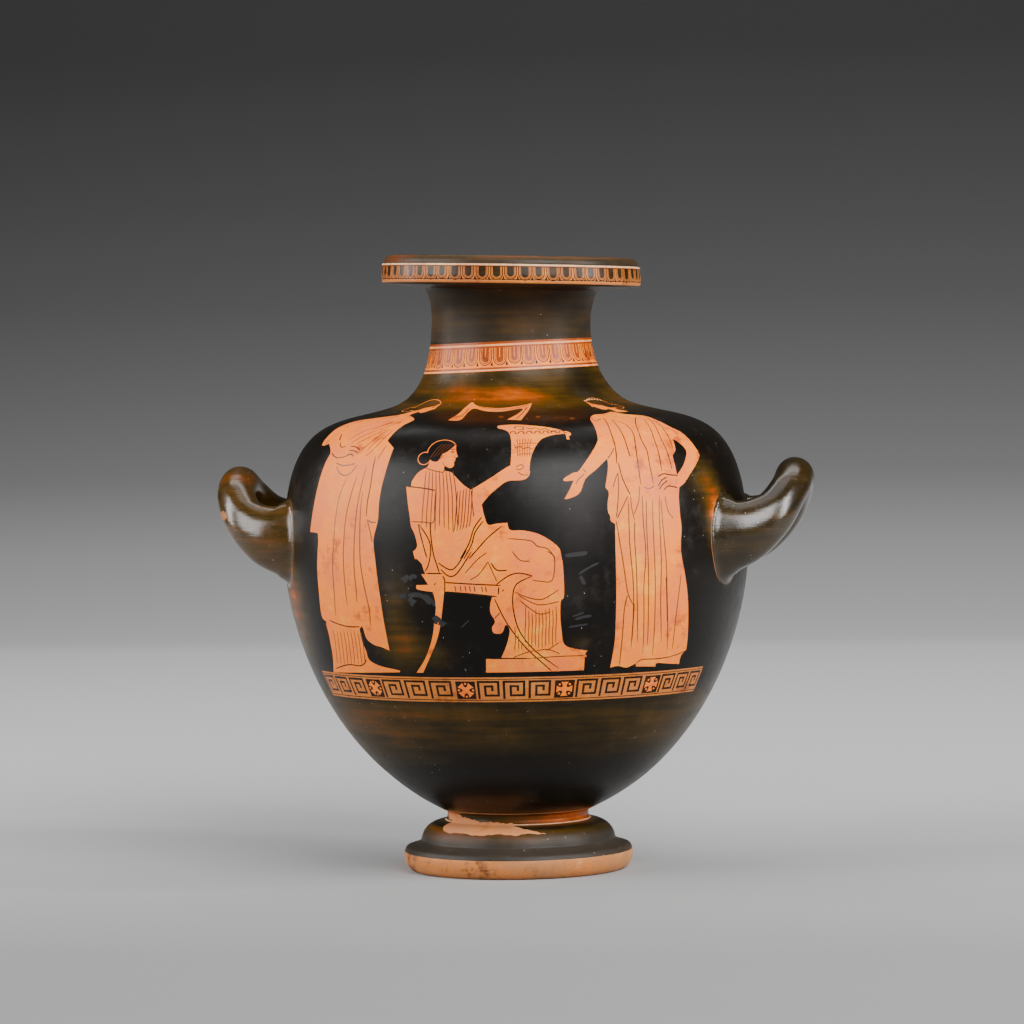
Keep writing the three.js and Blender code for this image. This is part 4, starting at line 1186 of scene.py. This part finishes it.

# %% [markdown]
# ## One closed mesh
# The pieces share the points along their joints, so they are merged there. The shading normals of
# the painted sheet come from the turned form itself, not from its triangles, which keeps reflections calm.

# %% Weld the pieces
GLOSSED_ABOVE = 300
starts = np.cumsum([0] + [len(part[0]) for part in chunks])
triangles = np.vstack([part[1] + start for part, start in zip(chunks, starts)])
points, ways = (np.vstack([part[i] for part in chunks]) for i in (0, 3))
paints, angles, arcs = (np.concatenate([part[i] for part in chunks]) for i in (2, 4, 5))
heights = points[:, 2]
middle_height = points[triangles][:, :, 2].mean(axis=1)
gloss, bare = PAINTS.index("gloss"), PAINTS.index("bare")
paints = np.where(paints == INSIDE, np.where(middle_height > GLOSSED_ABOVE, gloss, bare),
                  np.where(paints == UNDERSIDE, bare, paints))

mesh = bpy.data.meshes.new("hydria")
mesh.from_pydata(points.tolist(), [], triangles.tolist())
mesh.polygons.foreach_set("material_index", paints.astype(np.int32))
mesh.polygons.foreach_set("use_smooth", np.ones(len(triangles), bool))
mesh.attributes.new("way", "FLOAT_VECTOR", "POINT").data.foreach_set("vector", ways.ravel())
# The third number greys the black: dulled neck and foot, and soft spots, one of them a painted reflection
for name, values in (("thin", thinness(angles, heights, arcs)), ("worn", wear(points)),
                     ("haze_and_sheen", dullness_and_sheen(angles, heights, arcs))):
    mesh.attributes.new(name, "FLOAT", "POINT").data.foreach_set("value", values)
bm = bmesh.new()
bm.from_mesh(mesh)
rim = [v for v in bm.verts if v.is_boundary]
bmesh.ops.remove_doubles(bm, verts=rim, dist=0.004)
loose = [v for v in bm.verts if not v.link_faces]
bmesh.ops.delete(bm, geom=loose, context="VERTS")
open_edges = [e for e in bm.edges if not e.is_manifold]
print("open or shared edges:", len(open_edges),
      [tuple(round(c, 1) for c in e.verts[0].co) for e in open_edges[:6]])
bmesh.ops.scale(bm, vec=(MM, MM, MM), verts=bm.verts)
bm.to_mesh(mesh)
volume = bm.calc_volume(signed=True)
bm.free()
way = np.zeros(len(mesh.vertices) * 3)
mesh.attributes["way"].data.foreach_get("vector", way)
mesh.attributes.remove(mesh.attributes["way"])
mesh.normals_split_custom_set_from_vertices(way.reshape(-1, 3).tolist())
hydria = bpy.data.objects.new("hydria", mesh)
bpy.context.scene.collection.objects.link(hydria)
print("hydria:", len(mesh.polygons), "triangles, volume", round(volume * 1e6, 1), "cm3")

# %% [markdown]
# ## Materials
# Every finish is built from noise in real millimetres. A helper adds a shader node with its
# settings and its links in one line, so each material reads like a list of steps.

# %% Node helper
def add(tree, kind, settings=None, **inputs):
    """Adds a node. Inputs are numbers, colours or the output sockets of earlier nodes."""
    node = tree.nodes.new(kind)
    for name, value in (settings or {}).items():
        setattr(node, name, value)
    for name, value in inputs.items():
        key = int(name[1:]) if name[0] == "i" and name[1:].isdigit() else name.replace("_", " ")
        socket = node.inputs[key]
        if isinstance(value, bpy.types.NodeSocket):
            tree.links.new(value, socket)
        else:
            socket.default_value = value
    return node


def finish(name):
    """A new material with its tree, its surface shader and its position in millimetres."""
    material = bpy.data.materials.new(name)
    material.use_nodes = True
    tree = material.node_tree
    surface = tree.nodes["Principled BSDF"]
    place = add(tree, "ShaderNodeTexCoord").outputs["Object"]
    place = add(tree, "ShaderNodeVectorMath", {"operation": "SCALE"}, i0=place, Scale=1000.0).outputs[0]
    return material, tree, surface, place


def noise(tree, place, size_mm, detail=3.0, rough=0.55, stretch=(1, 1, 1), distortion=0.0):
    """Noise with features of about size_mm. stretch above 1 makes them longer that way."""
    spot = add(tree, "ShaderNodeVectorMath", {"operation": "DIVIDE"}, i0=place,
               i1=[size_mm * s for s in stretch]).outputs[0]
    return add(tree, "ShaderNodeTexNoise", None, Vector=spot, Scale=1.0, Detail=detail, Roughness=rough,
               Distortion=distortion).outputs["Fac"]


def ramp(tree, value, *stops):
    """A colour ramp from (position, hex) stops, or from (position, grey) numbers."""
    node = add(tree, "ShaderNodeValToRGB", None, Fac=value)
    band = node.color_ramp
    while len(band.elements) < len(stops):
        band.elements.new(0.5)
    for element, (position, shade) in zip(band.elements, stops):
        element.position = position
        element.color = linear_colour(shade) if isinstance(shade, str) else (shade, shade, shade, 1)
    return node.outputs["Color"]


def maths(tree, operation, a, b=0.0, c=0.0):
    return add(tree, "ShaderNodeMath", {"operation": operation}, i0=a, i1=b, i2=c).outputs[0]


def mixed(tree, share, a, b):
    """Mixes two colours by a share."""
    node = tree.nodes.new("ShaderNodeMix")
    node.data_type = "RGBA"
    for index, value in ((0, share), (6, a), (7, b)):
        if isinstance(value, bpy.types.NodeSocket):
            tree.links.new(value, node.inputs[index])
        else:
            node.inputs[index].default_value = linear_colour(value) if isinstance(value, str) else value
    return node.outputs[2]


def bumped(tree, surface, height, depth_mm, strength=1.0):
    node = add(tree, "ShaderNodeBump", None, Strength=strength, Distance=depth_mm * MM, Height=height)
    tree.links.new(node.outputs["Normal"], surface.inputs["Normal"])

# %% [markdown]
# ### Fired gloss
# The black is a slip of fine iron-rich clay that sinters to a sheen: black where thick, brown where
# thin. A ramp runs from black over olive to orange, driven by the point numbers and by brush marks
# round the jar. One flat black would lose that depth.

# %% Fired gloss
def gloss_finish(name, shine, smooth, bump=0.12, coat=0.0):
    """Black slip gloss: iron-rich slip, brushed on in turns and fired black, thin parts brown."""
    material, tree, surface, place = finish(name)
    surface.inputs["Specular IOR Level"].default_value = shine
    surface.inputs["Coat Weight"].default_value = coat
    surface.inputs["Coat Roughness"].default_value = 0.16
    thin = add(tree, "ShaderNodeAttribute", {"attribute_name": "thin"}).outputs["Fac"]
    worn = add(tree, "ShaderNodeAttribute", {"attribute_name": "worn"}).outputs["Fac"]
    strokes = noise(tree, place, 5.0, 4.0, 0.65, (16, 16, 1))
    clouds = noise(tree, place, 30.0, 4.0, 0.6, (1.6, 1.6, 1), 0.5)
    spots = noise(tree, place, 8.0, 5.0, 0.7)
    shift = maths(tree, "MULTIPLY_ADD", strokes, 1.1, -0.55)
    shift = maths(tree, "ADD", shift, maths(tree, "MULTIPLY_ADD", clouds, 1.0, -0.5))
    shift = maths(tree, "ADD", shift, maths(tree, "MULTIPLY_ADD", spots, 0.3, -0.15))
    power = maths(tree, "MULTIPLY_ADD", thin, 1.1, 0.05)
    level = maths(tree, "MULTIPLY_ADD", shift, power, thin)
    colour = ramp(tree, level, (0.0, "#0B0907"), (0.14, "#150E06"), (0.3, "#2E2208"), (0.46, "#4A320A"),
                  (0.6, "#6C3606"), (0.74, "#A24604"), (0.92, "#C46A1C"), (1.0, "#D08A44"))
    # Grey in the black: dull patches from noise, the dulled neck and foot, and soft spots, one of them a
    # painted reflection of a soft light
    haze_and_sheen = add(tree, "ShaderNodeAttribute", {"attribute_name": "haze_and_sheen"}).outputs["Fac"]
    dull_and_sheen = maths(tree, "MULTIPLY", ramp(tree, spots, (0.48, 0.0), (0.66, 1.0)),
                 ramp(tree, clouds, (0.46, 0.0), (0.6, 1.0)))
    dull_and_sheen = maths(tree, "ADD", maths(tree, "MULTIPLY", dull_and_sheen, 0.25), haze_and_sheen)
    colour = mixed(tree, dull_and_sheen, colour, "#3A3635")
    crumbs = add(tree, "ShaderNodeTexVoronoi", {"feature": "F1"}, Vector=place, Scale=0.2,
                 Randomness=1.0).outputs["Distance"]
    speck = maths(tree, "MULTIPLY", maths(tree, "LESS_THAN", crumbs, 0.062),
                  ramp(tree, clouds, (0.5, 0.0), (0.54, 1.0)))
    colour = mixed(tree, speck, colour, "#A8988A")
    rub = maths(tree, "MULTIPLY_ADD", noise(tree, place, 3.0, 5.0, 0.7), 0.9, worn)
    rub = ramp(tree, rub, (0.84, 0.0), (0.95, 1.0))
    colour = mixed(tree, rub, colour, "#AA5E24")
    tree.links.new(colour, surface.inputs["Base Color"])
    fine = noise(tree, place, 0.9, 4.0, 0.6)
    rough = ramp(tree, maths(tree, "MULTIPLY_ADD", dull_and_sheen, 0.5, maths(tree, "MULTIPLY", spots, 0.8)),
                 (0.2, smooth), (0.5, smooth + 0.08), (1.0, smooth + 0.3))
    rough = maths(tree, "ADD", rough, maths(tree, "MULTIPLY", maths(tree, "MAXIMUM", speck, rub), 0.35))
    tree.links.new(rough, surface.inputs["Roughness"])
    turning = noise(tree, place, 1.6, 2.0, 0.5, (40, 40, 1))
    pits = ramp(tree, fine, (0.24, 0.0), (0.36, 1.0))
    relief = maths(tree, "MULTIPLY_ADD", fine, 0.35, maths(tree, "MULTIPLY", turning, 0.5))
    relief = maths(tree, "ADD", relief, maths(tree, "MULTIPLY", strokes, 0.5))
    relief = maths(tree, "ADD", relief, maths(tree, "MULTIPLY", pits, 0.7))
    bumped(tree, surface, relief, bump, 0.6)
    return material

# %% [markdown]
# ### Clay
# Reserved clay was polished before firing. Slow clouds change its colour, small grains darken it and
# fine marks run round the jar. The same steps with other colours and sheen give the wash, the added
# white, the bare and worn clay and the scuffs.

# %% Clay finishes
def clay_finish(name, dark, base, light, rosy, roughness, worn=0.0):
    """Fired orange clay, polished while dry: cloudy, with fine dark grains and soft brush marks."""
    material, tree, surface, place = finish(name)
    surface.inputs["Specular IOR Level"].default_value = 0.32
    clouds = noise(tree, place, 46.0, 4.0, 0.6, distortion=0.5)
    small = noise(tree, place, 7.0, 5.0, 0.65)
    grain = noise(tree, place, 0.8, 3.0, 0.6)
    rubbed = noise(tree, place, 3.0, 3.0, 0.6, (12, 12, 1))
    level = maths(tree, "MULTIPLY_ADD", small, 0.45, maths(tree, "MULTIPLY", clouds, 0.55))
    level = maths(tree, "MULTIPLY_ADD", rubbed, 0.16, maths(tree, "ADD", level, -0.08))
    colour = ramp(tree, level, (0.37, dark), (0.46, base), (0.53, base), (0.63, light))
    rose = ramp(tree, noise(tree, place, 26.0, 4.0, 0.6), (0.46, 0.0), (0.62, 0.8))
    colour = mixed(tree, rose, colour, rosy)
    colour = mixed(tree, ramp(tree, grain, (0.56, 0.0), (0.74, 0.6)), colour, dark)
    if worn:
        chips = noise(tree, place, 2.2, 5.0, 0.7, (3, 3, 1))
        colour = mixed(tree, maths(tree, "MULTIPLY", ramp(tree, chips, (0.5, 0.0), (0.58, 1.0)), worn),
                       colour, "#B4714A")
    tree.links.new(colour, surface.inputs["Base Color"])
    tree.links.new(ramp(tree, small, (0.3, roughness - 0.06), (0.7, roughness + 0.1)),
                   surface.inputs["Roughness"])
    relief = maths(tree, "MULTIPLY_ADD", grain, 0.6, maths(tree, "MULTIPLY", small, 0.6))
    bumped(tree, surface, maths(tree, "ADD", relief, maths(tree, "MULTIPLY", rubbed, 0.3)), 0.1, 0.5)
    return material


def line_finish():
    """Relief line: thick slip drawn as a fine raised-looking black line, brown where it thins."""
    material, tree, surface, place = finish("relief line slip")
    surface.inputs["Specular IOR Level"].default_value = 0.14
    flow = noise(tree, place, 7.0, 3.0, 0.6)
    tree.links.new(ramp(tree, flow, (0.3, "#150F0B"), (0.55, "#2A1A0E"), (0.75, "#4A2A12")),
                   surface.inputs["Base Color"])
    tree.links.new(ramp(tree, flow, (0.3, 0.22), (0.7, 0.36)), surface.inputs["Roughness"])
    bumped(tree, surface, noise(tree, place, 0.7, 3.0), 0.06, 0.5)
    return material


# One finish for each paint, in the order of PAINTS
materials = [
    gloss_finish("fired black gloss", 0.17, 0.29),
    clay_finish("reserved clay", "#C8540C", "#FF8212", "#FFA02C", "#F27634", 0.5),
    line_finish(),
    clay_finish("dilute gloss wash", "#482208", "#5E2E0A", "#743C10", "#542A0C", 0.34),
    clay_finish("added white", "#CC9468", "#E4B890", "#F0CCA8", "#D4A480", 0.5, worn=0.5),
    clay_finish("bare clay", "#A0582C", "#C8804A", "#D89862", "#BC7850", 0.72),
    clay_finish("worn foot clay", "#6A3814", "#C27636", "#DC9C5C", "#AC7448", 0.5, worn=0.5),
    clay_finish("amber gloss", "#6A2802", "#983E04", "#AA500A", "#8E3E06", 0.34),
    clay_finish("matt scuff", "#161516", "#242325", "#363436", "#282425", 0.6),
    clay_finish("honey clay", "#9A4E16", "#C87228", "#D8883C", "#C0703C", 0.42),
    gloss_finish("rubbed handle gloss", 0.62, 0.14, 0.4, 0.1),
    clay_finish("olive slip", "#150F06", "#2C200C", "#46340F", "#3A2208", 0.3),
    gloss_finish("thin brown gloss", 0.1, 0.34),
]
for material in materials:
    mesh.materials.append(material)
print("materials:", [m.name for m in materials])

# %% [markdown]
# ## Studio
# A pale sweep of paper runs from the floor up behind the jar. Its colour carries painted light and
# shade: dark on the floor round the jar, lightest where the floor turns up and darker again up the
# wall. An image could give that shade, but each point of the paper knows its distance along the
# sweep, and a ramp over that number does it with nothing to load.

# %% Floor and backdrop
# Greys of painted shade and light along the sweep, from the floor by the jar up to the top of the wall
PAPER_SHADE_STOPS = ((0.0105, 0.24), (0.0557, 0.248), (0.16, 0.39), (0.3166, 0.58), (0.428, 0.68),
               (0.5775, 0.74), (0.7195, 0.38), (0.7686, 0.22), (0.8095, 0.165), (0.8566, 0.11),
               (0.8993, 0.082), (0.9583, 0.052))
sweep = [(y, 0.0) for y in np.linspace(-4.5, 2.3, 40)]
sweep += [(2.3 + 1.7 * math.sin(a), 1.7 - 1.7 * math.cos(a)) for a in np.linspace(0.03, math.pi / 2, 40)]
sweep.append((4.0, 5.0))
verts = [(x, y, z) for y, z in sweep for x in (-4.0, 4.0)]
quads = [(2 * i, 2 * i + 1, 2 * i + 3, 2 * i + 2) for i in range(len(sweep) - 1)]
floor_mesh = bpy.data.meshes.new("paper sweep")
floor_mesh.from_pydata(verts, [], quads)
floor_mesh.polygons.foreach_set("use_smooth", np.ones(len(quads), bool))
run = np.repeat(arc_lengths(np.array(sweep)), 2) - 4.5
floor_mesh.attributes.new("run", "FLOAT", "POINT").data.foreach_set("value", run)
floor = bpy.data.objects.new("paper sweep", floor_mesh)
bpy.context.scene.collection.objects.link(floor)
paper, tree, surface, place = finish("matt grey paper")
run = add(tree, "ShaderNodeAttribute", {"attribute_name": "run"}).outputs["Fac"]
share = add(tree, "ShaderNodeMapRange", None, Value=run, From_Min=-0.7, From_Max=4.2).outputs[0]
tree.links.new(ramp(tree, share, *PAPER_SHADE_STOPS), surface.inputs["Base Color"])
surface.inputs["Roughness"].default_value = 0.9
surface.inputs["Specular IOR Level"].default_value = 0.1
floor_mesh.materials.append(paper)
print("paper sweep:", len(quads), "strips")

# %% [markdown]
# ### Lights
# A large soft box at the right front is the key and another on the left fills. Narrow strips edge the
# handles, and weak boxes light the top and the paper behind.

# %% Lights
def soft_box(name, place, target, width, tall, power):
    data = bpy.data.lights.new(name, "AREA")
    data.shape = "RECTANGLE"
    data.size, data.size_y = width, tall
    data.energy = power
    lamp = bpy.data.objects.new(name, data)
    bpy.context.scene.collection.objects.link(lamp)
    lamp.location = place
    lamp.rotation_euler = (Vector(target) - Vector(place)).to_track_quat("-Z", "Y").to_euler()


soft_box("key soft box", (1.3, -1.9, 1.7), (0, 0, 0.22), 1.9, 1.7, 112)
soft_box("left soft box", (-2.2, -1.35, 1.3), (0, 0, 0.22), 1.5, 1.9, 74)
soft_box("left strip", (-1.5, 0.1, 0.75), (0, 0, 0.25), 0.3, 1.1, 12)
soft_box("right strip", (1.55, -0.3, 0.85), (0, 0, 0.25), 0.22, 1.1, 22)
soft_box("top soft box", (0.0, 0.2, 2.4), (0, 0, 0.2), 1.6, 1.2, 9)
soft_box("paper light", (0.0, 1.5, 2.6), (0, 2.9, 0.1), 3.0, 0.6, 30)
world = bpy.data.worlds.new("studio")
world.use_nodes = True
world.node_tree.nodes["Background"].inputs[0].default_value = linear_colour("#8A8C90")
world.node_tree.nodes["Background"].inputs[1].default_value = 0.12
bpy.context.scene.world = world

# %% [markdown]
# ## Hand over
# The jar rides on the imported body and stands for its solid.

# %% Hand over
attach(hydria, "root")
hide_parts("hydria")
